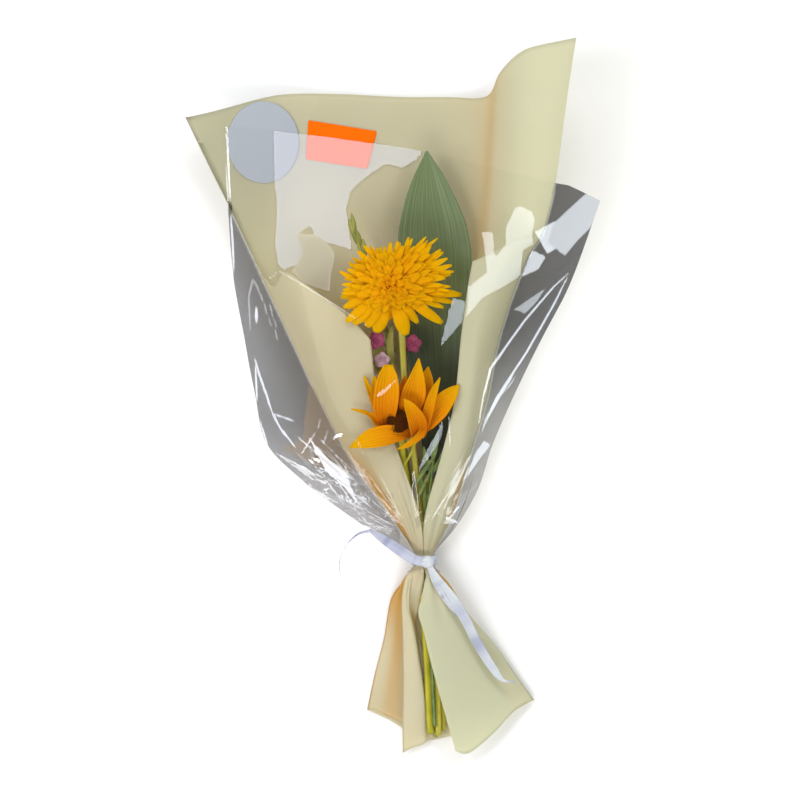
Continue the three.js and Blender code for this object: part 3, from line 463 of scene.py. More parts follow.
# film guides, from the free edge on the right over the front, round the left wing and back under the paper
filmGuides = [
    (368, [[43, -100, 17], [60, -70, 21], [72, -35, 26], [100, 27, 33], [133.4, 92, 46], [156, 154.5, 60]]),
    (395, [[42.2, -96, 26.5], [61, -38, 41], [79, 14, 54], [103, 76, 72], [130.3, 166, 84]]),
    (420, [[32.8, -93.6, 37.5], [48, -40.6, 48], [64, 14, 66], [84, 80, 84], [100, 172, 97]]),
    (446, [[20, -93.6, 41], [25, -35, 63], [27, 10, 80], [32, 78, 99], [48.4, 185, 100]]),
    (472, [[6, -93.6, 39], [-6, -39, 68], [-17, 8, 80], [-22, 78, 96], [-31.2, 200.5, 84]]),
    (500, [[-8, -91, 33], [-37, -39, 57], [-58.5, 8, 64], [-69, 94, 70], [-97.5, 209, 66]]),
    (522, [[-22, -90, 25], [-62, -43, 35], [-90, 4, 41], [-112, 86, 47], [-126, 156, 48], [-138, 213.7, 46]]),
    (542, [[-6, -113, 13], [-50, -83.5, 14.5], [-78, -62.4, 15], [-104.5, -35, 17], [-114, 5.5, 19],
           [-129.5, 90, 24]]),
    (560, [[-12, -97, 6.5], [-48, -66, 3.4], [-86, -39, 1.8], [-100, 0, 1.2], [-108, 60, 1.6]]),
    (585, [[0, -93.6, 1.3], [-30, -47, 0.3], [-47, 0, 0.3], [-58, 78, 0.3]]),
    (610, [[9.4, -93.6, 0.8], [-9.4, -40.6, 0.3], [-22, 0, 0.3], [-35, 100, 0.3]]),
    (632, [[17.2, -93.6, 0.6], [7.8, -40.6, 0.3], [3.9, 0, 0.3], [3.9, 108, 0.3]]),
    (652, [[26, -93.6, 0.8], [28, -40.6, 0.3], [31, 0, 0.3], [43, 108, 0.3]]),
    (675, [[36.7, -93.6, 2.8], [50, -40.6, 1.6], [60, 0, 1], [84, 106, 1]]),
    (697, [[43, -96, 8], [62, -40, 8], [80, 8, 7], [112, 84, 10], [124, 102, 13]]),
    (712, [[45.5, -98, 13.5], [65, -66, 16.5], [77, -33, 20], [105, 27, 26], [137, 90, 38], [159, 150, 52]]),
]

# corners and sharp folds are numbers of guides; gathers and sway are heights
paper = {
    "thick": 0.3, "radius": 7.7, "perGap": 8, "rowsDown": 56, "rowsUp": 104,
    "corners": {"down": [0, 3, 4, 6, 14, 18], "up": [0, 6, 14, 18]},
    "sharp": [(3, 0.8), (4, 0.5), (6, 0.6), (14, 0.75)],
    "gathers": 1.0, "sway": 0.8, "swaySize": 55.0, "seed": 3.0,
    "plain": [(0.3, "#e9e2c2"), (0.72, "#eee8ce")],
    # the warm and dim tints are painted shade, warm in folds and grey on the back; the cool tint is a greener
    # tone
    "tints": [("cool", "#e4e6cc"), ("dim", "#c9c7ae"), ("warm", "#e6ba54")],
    "fibre": 420.0, "fibreDepth": 0.12, "cloud": 16.0, "roughness": 0.72, "sheen": 0.08, "translucent": 0.55,
}


# wrapping paper, calendered kraft dyed cream: matte and faintly fibrous, and light comes through it
def creamPaper():
    material, add = newMaterial("cream wrapping paper, calendered")
    spot = add("TexCoord", out="Object")
    # fibres of 2 to 3 mm, and clouds of 60 mm where the pulp took more or less dye
    grain = {"Scale": paper["fibre"], "Detail": 6.0, "Roughness": 0.65}
    fibre = add("TexNoise", values=grain, links={"Vector": spot})
    cloud = add("TexNoise", values={"Scale": paper["cloud"], "Detail": 3.0}, links={"Vector": spot})
    colour = add("ValToRGB", links={"Fac": cloud}, stops=paper["plain"])
    # the tints mix a greener tone and painted warm and grey shade into the paper's colour
    for mark, code in paper["tints"]:
        blend = {mixShare: add("Attribute", {"attribute_name": mark}, out="Fac"), mixFirst: colour}
        colour = add("Mix", colourMix, {mixSecond: linear(code)}, blend, out=mixResult)
    bump = add("Bump", values={"Strength": paper["fibreDepth"], "Distance": 0.0004}, links={"Height": fibre})
    gloss = {"Roughness": paper["roughness"], "Specular IOR Level": 0.25, "Sheen Weight": paper["sheen"]}
    shader = add("BsdfPrincipled", values=gloss, links={"Base Color": colour, "Normal": bump})
    # light falls through the sheet, so that the inside of the wrap glows
    through = add("BsdfTranslucent", links={"Color": colour, "Normal": bump})
    both = add("MixShader", values={0: paper["translucent"]}, links={1: shader, 2: through})
    add("OutputMaterial", links={"Surface": both})
    return material


# where the paper is painted with warm shade, grey shade or a greener tone, by place among the guides and
# share of the way from the tie
def paperTints(place, share, grid):
    below, above = np.maximum(-share, 0), np.maximum(share, 0)
    # painted warm shade: left skirt panel and its fold edge, right skirt panel by the tie, the slit's tip,
    # the left flap's fold, the right flap's edge, the gathers at the tie and the valley of the roll
    pocket = plateau(place, (4.2, 5.0), (6.5, 7.5)) * (below > 0)
    faded = 1 - 0.95 * ease(0.1, 0.65, below) * ease(4.5, 5.5, place)
    left = pocket * faded * (1 - 0.3 * ease(0.3, 1, below)) + 0.5 * hump(place, 6.0, 0.13) * (below > 0.05)
    right = plateau(place, (13.2, 14.0), (14.8, 15.6)) * (below > 0) * (1 - ease(0.15, 0.5, below))
    tip = (1 - ease(0.3, 1.0, place)) * hump(below, 0.36, 0.06)
    fold = hump(place, 4.2, 1.0) * plateau(above, (0.03, 0.08), (0.22, 0.5))
    edge = 0.6 * hump(place, 15.3, 0.6) * hump(above, 0.2, 0.08)
    tie = 0.2 * hump(share, 0, 0.06)
    valley = 0.28 * hump(place, 11.4, 0.55) * ease(0.4, 0.7, share)
    # painted grey shade: high on the back inside the wrap, and at the far left of the back
    inside = 0.3 * ease(0.6, 0.95, above) * ease(5, 6, place) * (1 - 0.2 * ease(12.2, 13.5, place))
    farLeft = 0.55 * (1 - ease(-135, -70, grid[..., 0])) * (grid[..., 1] > 40)
    cool = 0.55 * ease(11.8, 13.5, place) + 0.25 * (share < -0.2) * (place > 15)
    warm = 0.95 * left + right + tip + fold + edge + tie + valley
    tints = {"warm": warm, "cool": cool, "dim": inside + farLeft}
    return {name: np.clip(amount, 0, 1) for name, amount in tints.items()}


def makePaper():
    places = np.linspace(0, len(paperGuides) - 1, (len(paperGuides) - 1) * paper["perGap"] + 1)
    grid, place, share = wrappedGrid(paper, paperGuides, places)
    near = hump(np.abs(share), 0.16, 0.12)
    gathers = paper["gathers"] * near * (0.6 * np.sin(place * 5.1) + 0.5 * np.sin(place * 8.3 + 1.2))
    sway = paper["sway"] * roughness(grid, paper["swaySize"], paper["seed"]) * ease(0.25, 0.6, np.abs(share))
    lift = (gathers + sway) * np.clip((grid[..., 2] - 1.5) / 6, 0, 1)  # nothing is pushed into the table
    grid = grid + gridNormals(grid) * lift[..., None]
    shell = shellOf(grid, paper["thick"], extra=paperTints(place, share, grid))
    return makePiece("wrap_paper_sheet", [shell], creamPaper(), ["wrap_paper"])


paperSheet = makePaper()
paperTree = BVHTree.FromObject(paperSheet, bpy.context.evaluated_depsgraph_get())
wellAbove = 0.3  # metres


# height of the paper at a place, found from above
def paperHeight(x, y):
    start = Vector(((x + middle[0]) * metre, (y + middle[1]) * metre, wellAbove))
    hit = paperTree.ray_cast(start, Vector((0, 0, -1)))[0]
    return hit.z / metre if hit else 0.0


# the film is one face thick; thick only keeps it off the table. Guides from under on lie below the paper
film = {
    "thick": 0.1, "radius": 8.6, "frillRadius": 13.4, "frillDrop": 9.5, "frillFlat": 0.76,
    "frontGaps": 8, "frontPerGap": 30, "backPerGap": 6, "rowsDown": 6, "rowsUp": 270, "under": 7.0,
    "corners": {"down": [0, 15], "up": [0, 1, 6, 7, 8, 13, 15]},
    "sharp": [(1, 0.7), (5, 0.5), (6, 0.6), (7, 0.7)],
    "sway": 1.1, "swaySize": 42.0, "seed": 11.0, "level": 0.86,
    "feather": [(0, 0), (0.7, 0), (0, 0.7), (-0.7, 0), (0, -0.7), (1.2, 0.8), (-0.8, 1.2), (-1.2, -0.8),
                (0.8, -1.2)],
    "creaseVeil": 0.2, "wingEnds": -136, "wingRight": (0.55, 1.0), "wingLeft": (0.9, 0.7),
    "crumple": 110.0, "crumpleDepth": 0.7, "mirror": 0.04, "roughness": 0.07,
    # painted into what shows through: grey shade past the paper, tan in its bundle, haze, a dark reflection
    "tints": [("wing", "#7c7c7e"), ("tan", "#a89b8b"), ("veil", "#c8c7c9"), ("scrap", "#86837f")],
}

# flat places of the film that mirror a lamp, seen from above: the lamp, how much they veil what lies below
# with
# # painted grey haze, the width of their soft edge, how much more than bare film they mirror, and their
# outline
panes = [
    ("window", 0.9, 1.4, 0.004, [
        (-98, 209), (-58, 204), (19, 193), (12, 184), (2, 179), (-11, 182), (-29, 170), (-38, 161),
        (-41.5, 147), (-40, 139), (-37, 116), (-57, 122), (-66, 128), (-70, 135), (-80, 129), (-75, 114),
        (-80, 106), (-90, 101), (-95, 106), (-97, 122), (-95, 150), (-97, 165)]),
    ("window", 0.22, 4.0, -0.025, [
        (-80, 129), (-66, 128), (-57, 122), (-50, 112), (-53, 100), (-55, 84), (-75, 91), (-84, 100),
        (-80, 106), (-75, 114)]),
    ("sideWindow", 0.15, 1.2, 0, [
        (85, 139), (87, 147), (93, 150), (102, 145), (104.5, 139), (102, 130), (103, 120), (95, 116),
        (93, 96), (81, 88), (64, 79), (50, 62), (53, 88), (67, 99), (63, 130), (72, 129), (73, 110),
        (81, 120), (82, 135)]),
    ("sideWindow", 0.3, 0.8, 0.03, [
        (104, 130), (119, 138), (129, 134), (122, 118), (114, 113)]),
    ("sideWindow", 0.3, 0.8, 0.02, [
        (102, 116), (113, 111), (107, 101), (94, 95)]),
    ("sideWindow", 0.3, 0.9, 0.01, [
        (144, 160), (157, 158), (156, 148), (148, 134), (138, 124), (128, 112), (114, 122), (119, 137)]),
    ("sideWindow", 0.45, 0.7, 0, [
        (32.2, -13.7), (33.2, -19), (32.8, -27), (29.2, -35.3), (24, -43.5), (15.8, -54.3), (13.3, -60.4),
        (14.8, -51.7), (19.9, -40.4), (24, -32.2), (29.2, -24), (31.7, -16.8)]),
    ("window", 0.15, 0.8, 0.0, [
        (4.5, 24.2), (-1.6, 16), (-7.8, 8.8), (-12.9, 3.7), (-19.1, 1.6), (-17.6, 5.8), (-12.9, 8.8),
        (-5.8, 14), (0.4, 20.1)]),
    ("sideWindow", 0.1, 0.8, 0, [(113, 87), (88, 70), (97, 67), (106, 76)]),
    ("sideWindow", 0.2, 0.8, 0, [(40, 79), (50.5, 77), (49, 61), (30, 39)]),
    ("sideWindow", 0.3, 0.6, 0.02, [
        (65.5, -31), (71, -35), (61, -48), (51.5, -62.4), (54, -53), (59, -40.6)]),
    ("sideWindow", 0.2, 0.8, 0, [
        (87, 12), (92, 22), (80, 5), (70, -12), (62, -30), (66, -14), (76, 0)]),
    ("window", 0.3, 0.6, 0.05, [
        (-72, -28), (-55, -47), (-44, -53), (-42, -50), (-38, -68), (-31, -84), (-44, -68), (-58, -56)]),
]

# a corner of the film painted dark, a painted dark reflection, and the bundled film that looks tan
darkReflectionCorner = [(-134, 155), (-130.5, 151), (-131.5, 144), (-133, 143)]
tanBundle = [(-71, 12), (-60, 4), (-30, -56), (-48, -60), (-78, -46), (-92, -38), (-76, -30)]

# creases that mirror each lamp: width at the broadest place, extra shine, and the line
creaseLines = {
    "window": [
        (1.3, 0.04, [(-139, 213), (-136, 177), (-134, 155)]),
        (1.3, 0.04, [(-135, 213), (-134, 189), (-132.5, 157)]),
        (1.4, 0.04, [(-132, 143), (-130.5, 121), (-130, 102)]),
        (0.9, -0.02, [(-117, 55), (-118, 80), (-115, 93), (-113, 92), (-107, 78), (-100, 57)]),
        (2.6, 0.04, [(-112, 72), (-112, 61)]),
        (1.0, -0.015, [(-101, 74), (-97, 58), (-95.5, 43)]),
        (1.0, -0.005, [(-93.5, 100), (-75, 89), (-50, 73.5), (-25.5, 57)]),
        (0.8, -0.03, [(-93.5, 100), (-107, 91)]),
        (1.6, 0.04, [(-113.5, 32), (-110, 20), (-104, 3), (-100, -10)]),
        (1.5, 0.04, [(-100, -10.5), (-82.5, -16.5)]),
        (2.0, 0.04, [(-100, -10), (-93, -23), (-81, -37.5)]),
        (1.2, 0.04, [(-113, 26), (-112, 0)]),
        (1.3, 0.04, [(-110, -16), (-103.5, -36)]),
        (1.8, 0.04, [(-81, -28), (-56, -49), (-40, -66)]),
        (1.3, 0.04, [(-66, -25), (-77, -42)]),
        (1.1, 0.04, [(-56, -23), (-60, -34.5)]),
        (1.0, 0.04, [(-61.5, -14), (-64.5, -23)]),
        (1.1, 0.04, [(-81, -53), (-67, -59)]),
        (1.1, 0.04, [(-63, -56), (-44, -81)]),
        (1.2, 0.04, [(-52, -58), (-33, -88), (-24, -98)]),
        (1.0, 0.04, [(-38, -66), (-27, -65)]),
        (1.0, 0.04, [(-34, -80), (-24, -70)])],
    "sideWindow": [
        (1.8, 0.04, [(131, 98.5), (119, 87.5), (97, 62), (79, 37), (70.5, 25), (64.5, 2), (61.5, -18)]),
        (2.2, 0.04, [(83, 42), (70, 24), (66, 6)]),
        (1.8, 0.04, [(130, 95), (119, 73), (98.5, 37), (82, 12), (66, -18)]),
        (3.4, 0.04, [(88, 20), (76, 2), (68, -14)]),
        (1.6, 0.0, [(38, -12), (39, -37)]),
        (0.8, 0.0, [(51, -62), (45, -74), (39, -85)]),
        (1.4, 0.04, [(46, -83), (38, -94)])],
}

# fine creases that fan out from the tie through the gathered film: bearings in degrees, distances from the
# tie, how many, which lamp they mirror
fans = {
    "seed": 21, "shift": (-4, 14), "long": (9, 38), "wide": (0.3, 0.9), "shine": (-0.03, 0.04),
    "tidy": 0.8, "lean": 0.1, "askew": 0.9, "bow": 0.5, "fields": [
        {"from": 122, "to": 161, "near": 22, "far": 112, "count": 74, "lamp": "window"},
        {"from": 56, "to": 70, "near": 18, "far": 100, "count": 9, "lamp": "sideWindow"}],
}

# small flat facets of the crumpled film; lit is the share of them that mirror the lamp, and haze is how much
# of the room the others catch
facets = {
    "shift": (-2, 8), "edge": 0.5, "veil": 0.25, "shine": (-0.02, 0.03), "tilt": 0.3,
    # every third one is a pleat; the others are short flats
    "pleatEvery": 3, "pleat": {"long": (26, 56), "wide": (0.05, 0.1), "lean": 0.06},
    "flat": {"long": (5, 17), "wide": (0.15, 0.45), "lean": 0.6},
    "fields": [
        {"from": 126, "to": 163, "near": 22, "far": 124, "count": 84, "lamp": "window", "lit": 0.12,
         "haze": 0.24, "seed": 5},
        {"from": 42, "to": 62, "near": 20, "far": 96, "count": 18, "lamp": "sideWindow", "lit": 0.1,
         "haze": 0.1, "seed": 6},
        {"from": 84, "to": 116, "near": 16, "far": 28, "count": 8, "lamp": "window", "lit": 0.15,
         "haze": 0.2, "seed": 7}],
}


def tieBearing(rng, field):
    return math.radians(rng.uniform(field["from"], field["to"]))


def heading(bearing):
    return outward(bearing)[:2]


def aside(way):
    return np.array([-way[1], way[0]])


def pastTie(shift, near, bearing):
    return np.array([neck["x"] + shift[0], neck["y"] + shift[1]]) + near * heading(bearing)


def fanCreases():
    rng = np.random.default_rng(fans["seed"])
    found = []
    for fan in fans["fields"]:
        for _ in range(fan["count"]):
            bearing = tieBearing(rng, fan)
            near = mix(fan["near"], fan["far"], rng.uniform(0, 0.8) ** 1.3)
            long = rng.uniform(*fans["long"])
            lean = rng.normal(0, fans["lean"] if rng.uniform() < fans["tidy"] else fans["askew"])
            start, way = pastTie(fans["shift"], near, bearing), heading(bearing + lean)
            bow = aside(way) * rng.normal(0, fans["bow"])
            line = [start, start + way * long * 0.5 + bow, start + way * long]
            found.append({"lamp": fan["lamp"], "wide": rng.uniform(*fans["wide"]),
                          "shine": rng.uniform(*fans["shine"]), "line": line})
    return found


def crumpledFacets():
    found = []
    for field in facets["fields"]:
        rng = np.random.default_rng(field["seed"])
        for k in range(field["count"]):
            bearing = tieBearing(rng, field)
            near = mix(field["near"], field["far"], rng.uniform(0, 0.9) ** 1.2)
            kind = facets["flat" if k % facets["pleatEvery"] else "pleat"]
            long = rng.uniform(*kind["long"])
            wide = long * rng.uniform(*kind["wide"])
            way = heading(bearing + rng.normal(0, kind["lean"]))
            start = pastTie(facets["shift"], near, bearing)
            left = start + way * long * rng.uniform(0.3, 0.6) + aside(way) * wide
            right = start + way * long * rng.uniform(0.4, 0.7) - aside(way) * wide * 0.4
            lit = rng.uniform() < field["lit"]
            facet = {"lamp": field["lamp"], "edge": facets["edge"], "veil": rng.uniform(0, facets["veil"]),
                     "outline": [tuple(corner) for corner in (start, left, start + way * long, right)]}
            if lit:
                facet["shine"] = rng.uniform(*facets["shine"])
            else:
                facet["shine"] = 0.02 + field["haze"] * rng.uniform() ** 2
                facet["tilt"] = rng.normal(0, facets["tilt"]), rng.normal(0, facets["tilt"])
            found.append(facet)
    return found


# cellophane, blown clear: almost all light passes, flat places and creases mirror the lamps, and grey shade,
# # haze and a dark reflection are painted into what shows through it
def clearFilm():
    material, add = newMaterial("cellophane, blown clear film")
    white = linear("#ffffff")
    spot = add("TexCoord", out="Object")
    # crumples of 9 mm, drawn out along the folds
    along = {"Rotation": (0, 0, 0.5), "Scale": (1.0, 0.3, 1.0)}
    stretch = add("Mapping", values=along, links={"Vector": spot})
    crinkle = add("TexVoronoi", {"feature": "DISTANCE_TO_EDGE"}, {"Scale": film["crumple"]},
                  {"Vector": stretch})
    marks = {mark: add("Attribute", {"attribute_name": mark}, out="Fac")
             for mark in ("wing", "tan", "veil", "scrap", "crush", "fold", "dull")}
    sharp = add("Math", {"operation": "MULTIPLY"}, links={0: crinkle, 1: marks["crush"]})
    bump = add("Bump", values={"Strength": film["crumpleDepth"], "Distance": 0.004}, links={"Height": sharp})
    # the tints are painted: grey shade past the paper, tan in its bundle, haze under glare, a dark reflection
    colour = None
    for mark, code in film["tints"]:
        blend = {mixShare: marks[mark], **({mixFirst: colour} if colour else {})}
        colour = add("Mix", colourMix, {mixFirst: white, mixSecond: linear(code)}, blend, out=mixResult)
    # thin film hardly dims the light that falls through it; the painted grey shade, haze and dark reflection
    #     # tint only what is seen through it
    blend = {mixShare: add("LightPath", out="Is Shadow Ray"), mixFirst: colour}
    lit = add("Mix", colourMix, {mixSecond: white}, blend, out=mixResult)
    clear = add("BsdfTransparent", links={"Color": lit})
    polish = {"Color": white, "Roughness": film["roughness"]}
    mirror = add("BsdfGlossy", values=polish, links={"Normal": bump})
    # both faces of the film mirror about 4 % head on and far more at a glance
    glance = add("LayerWeight", values={"Blend": 0.5}, links={"Normal": bump}, out="Facing")
    steeply = add("Math", {"operation": "POWER"}, {1: 5.0}, {0: glance})
    facing = add("Math", {"operation": "MULTIPLY_ADD"}, {1: 0.5, 2: film["mirror"]}, {0: steeply})
    shine = add("Math", {"operation": "ADD", "use_clamp": True}, links={0: facing, 1: marks["fold"]})
    bright = add("Math", {"operation": "SUBTRACT"}, {0: 1.0}, {1: marks["dull"]})
    gloss = add("Math", {"operation": "MULTIPLY"}, links={0: shine, 1: bright})
    both = add("MixShader", links={0: gloss, 1: clear, 2: mirror})
    add("OutputMaterial", links={"Surface": both})
    return material


# distance of points in the plane from a line of points, and how far along it the nearest place lies
def fromLine(points, line):
    line = np.asarray(line, float)
    steps = np.linalg.norm(np.diff(line, axis=0), axis=1)
    begun = np.append(0, np.cumsum(steps))
    best, place = np.full(len(points), 1e9), np.zeros(len(points))
    for k, (a, b) in enumerate(zip(line[:-1], line[1:])):
        t = np.clip((points - a) @ (b - a) / steps[k] ** 2, 0, 1)
        gap = np.linalg.norm(points - a - t[:, None] * (b - a), axis=1)
        nearer = gap < best
        best = np.where(nearer, gap, best)
        place = np.where(nearer, (begun[k] + t * steps[k]) / begun[-1], place)
    return best, place


def insideOutline(points, outline):
    x, y = points.T
    inside = np.zeros(len(points), bool)
    for (ax, ay), (bx, by) in zip(outline, outline[1:] + outline[:1]):
        crosses = (ay > y) != (by > y)
        where = (bx - ax) * (y - ay) / ((by - ay) or 1e-9) + ax
        inside ^= crosses & (x < where)
    return inside


# how strongly a pane or a crease holds at each point, from 0 to 1
def paneWeight(plan, pane):
    gap, _ = fromLine(plan, pane["outline"] + pane["outline"][:1])
    signed = np.where(insideOutline(plan, pane["outline"]), gap, -gap)
    return ease(-pane["edge"] / 2, pane["edge"] / 2, signed)


def creaseWeight(plan, crease):
    gap, along = fromLine(plan, crease["line"])
    half = 0.5 * crease["wide"] * np.sqrt(np.clip(4 * along * (1 - along), 0.05, 1))
    return 1 - ease(half * 0.5, half + 0.5, gap)


# the surface direction of a pane, facet or crease: tilted freely, or sending its lamp's light straight up
def glareNormal(glare):
    if "tilt" in glare:
        return unit(np.array([*glare["tilt"], 1.0]))
    return np.array((lampDirection(glare["lamp"]) + Vector((0, 0, 1))).normalized())


def filmGrid():
    guides = []
    for angle, above in filmGuides:
        x, y, z = neckPoint(angle, film["frillRadius"], -film["frillDrop"])
        guides.append((angle, [[x, y, mix(neck["z"], z, film["frillFlat"])]], above))
    front, last = film["frontGaps"], len(filmGuides) - 1
    places = np.concatenate([np.linspace(0, front, front * film["frontPerGap"] + 1),
                             np.linspace(front, last, (last - front) * film["backPerGap"] + 1)[1:]])
    grid, place, share = wrappedGrid(film, guides, places)
    low = np.clip((grid[..., 2] - 2) / 8, 0, 1)
    pulls = hump(share, 0.2, 0.12) * (0.8 * np.sin(place * 9 + 3 * share) + 0.6 * np.sin(place * 15.7 + 1))
    sway = film["sway"] * roughness(grid, film["swaySize"], film["seed"]) * ease(0.2, 0.6, share)
    return grid + gridNormals(grid) * ((pulls + sway) * low)[..., None], place.ravel(), share.ravel()


def makeFilm():
    grid, place, share = filmGrid()
    flat = grid.reshape(-1, 3)
    plan, x, y = flat[:, :2], flat[:, 0], flat[:, 1]
    onTop = place < film["under"]
    upper = onTop & (share > 0.02)
    # painted shade: the film is tinted grey only where it reaches past the paper, standing in for the darker
    #     # doubled film over the table
    bare = np.mean([[paperHeight(*(spot + step)) <= 0 for spot in plan] for step in film["feather"]], axis=0)
    right, left = mix(*film["wingRight"], ease(-50, 70, y)), mix(*film["wingLeft"], 1 - ease(-80, -10, y))
    wing = bare * onTop * (y > film["wingEnds"]) * np.where(x > 0, right, left)
    # normals: nearly level everywhere, turned to a lamp in panes and creases
    faces, normals = gridFaces(*grid.shape[:2]), gridNormals(grid).reshape(-1, 3)
    if normals[upper][:, 2].mean() < 0:
        normals, faces = -normals, faces[:, ::-1]
    steep = 1 - ease(0.12, 0.45, np.abs(normals[:, 2]))
    normals[upper] = unit(mix(normals[upper], np.array([0, 0, 1.0]), film["level"]))
    veil, fold, calm = np.zeros(len(flat)), np.zeros(len(flat)), np.zeros(len(flat))
    flats = [dict(zip(("lamp", "veil", "edge", "shine", "outline"), pane)) for pane in panes]
    creases = [{"lamp": lamp, "wide": wide, "shine": shine, "line": line}
               for lamp, lines in creaseLines.items() for wide, shine, line in lines]
    for glare in (*crumpledFacets(), *flats, *creases, *fanCreases()):
        weight = (paneWeight if "outline" in glare else creaseWeight)(plan, glare) * upper
        normals = mix(normals, glareNormal(glare), weight[:, None])
        calm = np.maximum(calm, weight)
        # painted haze: panes and creases grey what shows through them, to go with their mirrored glare
        veil = mix(veil, glare.get("veil", film["creaseVeil"]), weight)
        fold = mix(fold, glare["shine"], weight)
    crush = hump(share, 0.16, 0.12) * (ease(4.6, 5.2, place) + 0.3 * (1 - ease(0.8, 1.4, place)))
    marks = {
        "wing": wing, "tan": insideOutline(plan, tanBundle) * wing, "scrap": insideOutline(plan, darkReflectionCorner),
        "veil": veil, "fold": fold, "crush": np.clip(crush, 0, 1) * (1 - calm),
        "dull": np.clip(steep + (place > film["under"]), 0, 1) * (1 - calm),
    }
    marks = {name: np.asarray(value, float) for name, value in marks.items()}
    sheet = makePiece("clear_film_sheet", [(flat, faces, marks)], clearFilm(), ["cellophane_film"])
    sheet.data.normals_split_custom_set_from_vertices([Vector(n) for n in unit(normals)])


makeFilm()

print("stickers")

seal = {"centre": (-107, 202), "halfHigh": 32, "foreshortened": 0.88, "tilt": 0, "thick": 0.4, "lift": 0.35,
        "name": "sticker paper, coated pale grey", "colour": "#a0a5ac", "roughness": 0.42, "specular": 0.5}
label = {"centre": (-47.4, 200.4), "halfHigh": 15.25, "long": 52, "corner": 1.6, "taper": 2.6, "tilt": -9,
         "thick": 0.4, "lift": 0.35,
         "name": "label paper, flood-printed orange", "colour": "#f96600", "roughness": 0.7, "specular": 0.06}


# sticker paper, coated and printed plain: smooth, with a slight satin shine
def stickerPaper(sticker):
    material, add = newMaterial(sticker["name"])
    spot = add("TexCoord", out="Object")
    # fibres of 1.5 mm
    fibre = add("TexNoise", values={"Scale": 650.0, "Detail": 3.0}, links={"Vector": spot})
    bump = add("Bump", values={"Strength": 0.05, "Distance": 0.0002}, links={"Height": fibre})
    surface = {"Base Color": linear(sticker["colour"]), "Roughness": sticker["roughness"],
               "Specular IOR Level": sticker["specular"]}
    shader = add("BsdfPrincipled", values=surface, links={"Normal": bump})
    add("OutputMaterial", links={"Surface": shader})
    return material


# a flat shape laid over the paper, in rows from its lower edge to its upper one
def stickerOf(sticker, halfWide, rows=41, cols=33):
    tilt = math.radians(sticker["tilt"])
    levels = np.sin(np.linspace(-math.pi / 2, math.pi / 2, rows)) * sticker["halfHigh"]
    wide = np.array([halfWide(level) for level in levels])
    level = (wide[:, None] * np.linspace(-1, 1, cols))[..., None] * heading(tilt)
    flat = sticker["centre"] + level + levels[:, None, None] * aside(heading(tilt))
    heights = np.array([[paperHeight(x, y) for x, y in row] for row in flat])
    grid = np.concatenate([flat, heights[..., None] + sticker["lift"] + sticker["thick"] / 2], axis=2)
    return shellOf(grid, sticker["thick"])


def sealWide(level):
    return seal["foreshortened"] * math.sqrt(max(0.04, seal["halfHigh"] ** 2 - level**2))


def labelWide(level):
    past = max(0.0, abs(level) - label["halfHigh"] + label["corner"])
    half = label["long"] / 2 + label["taper"] * level / (2 * label["halfHigh"])
    return half - label["corner"] + math.sqrt(max(0.0, label["corner"] ** 2 - past**2))


makePiece("round_paper_sticker", [stickerOf(seal, sealWide)], stickerPaper(seal), ["round_sticker"])
makePiece("orange_paper_label", [stickerOf(label, labelWide)], stickerPaper(label), ["orange_label"])

print("flowers")


# flower petal, fresh: two runs of colour from root to tip that its tone blends, fine ribs along it, and some
# light through it, so that the shadows between petals stay golden
def freshPetal(petal):
    material, add = newMaterial(petal["name"])
    along, across, tone = (add("Attribute", {"attribute_name": mark}, out="Fac")
                           for mark in ("along", "across", "tone"))
    pale, deep = (add("ValToRGB", links={"Fac": along}, stops=petal[run]) for run in ("pale", "deep"))
    base = add("Mix", colourMix, links={mixShare: tone, mixFirst: deep, mixSecond: pale}, out=mixResult)
    rib = add("Math", {"operation": "MULTIPLY"}, {1: petal["ribs"]}, {0: across})
    ribs = add("Math", {"operation": "SINE"}, links={0: rib})
    relief = {"Strength": petal["ribDepth"], "Distance": petal["ribHeight"]}
    bump = add("Bump", values=relief, links={"Height": ribs})
    if petal["ribTint"]:
        amount = {1: petal["ribAmount"], 2: petal["ribAmount"]}
        tint = add("Math", {"operation": "MULTIPLY_ADD", "use_clamp": True}, amount, {0: ribs})
        blend = {mixShare: tint, mixFirst: base}
        base = add("Mix", colourMix, {mixSecond: linear(petal["ribTint"])}, blend, out=mixResult)
    gloss = {"Roughness": petal["roughness"], "Specular IOR Level": petal["specular"]}
    shader = add("BsdfPrincipled", values=gloss, links={"Base Color": base, "Normal": bump})
    through = add("BsdfTranslucent", links={"Color": base})
    both = add("MixShader", values={0: petal["translucent"]}, links={1: shader, 2: through})
    add("OutputMaterial", links={"Surface": both})
    return material


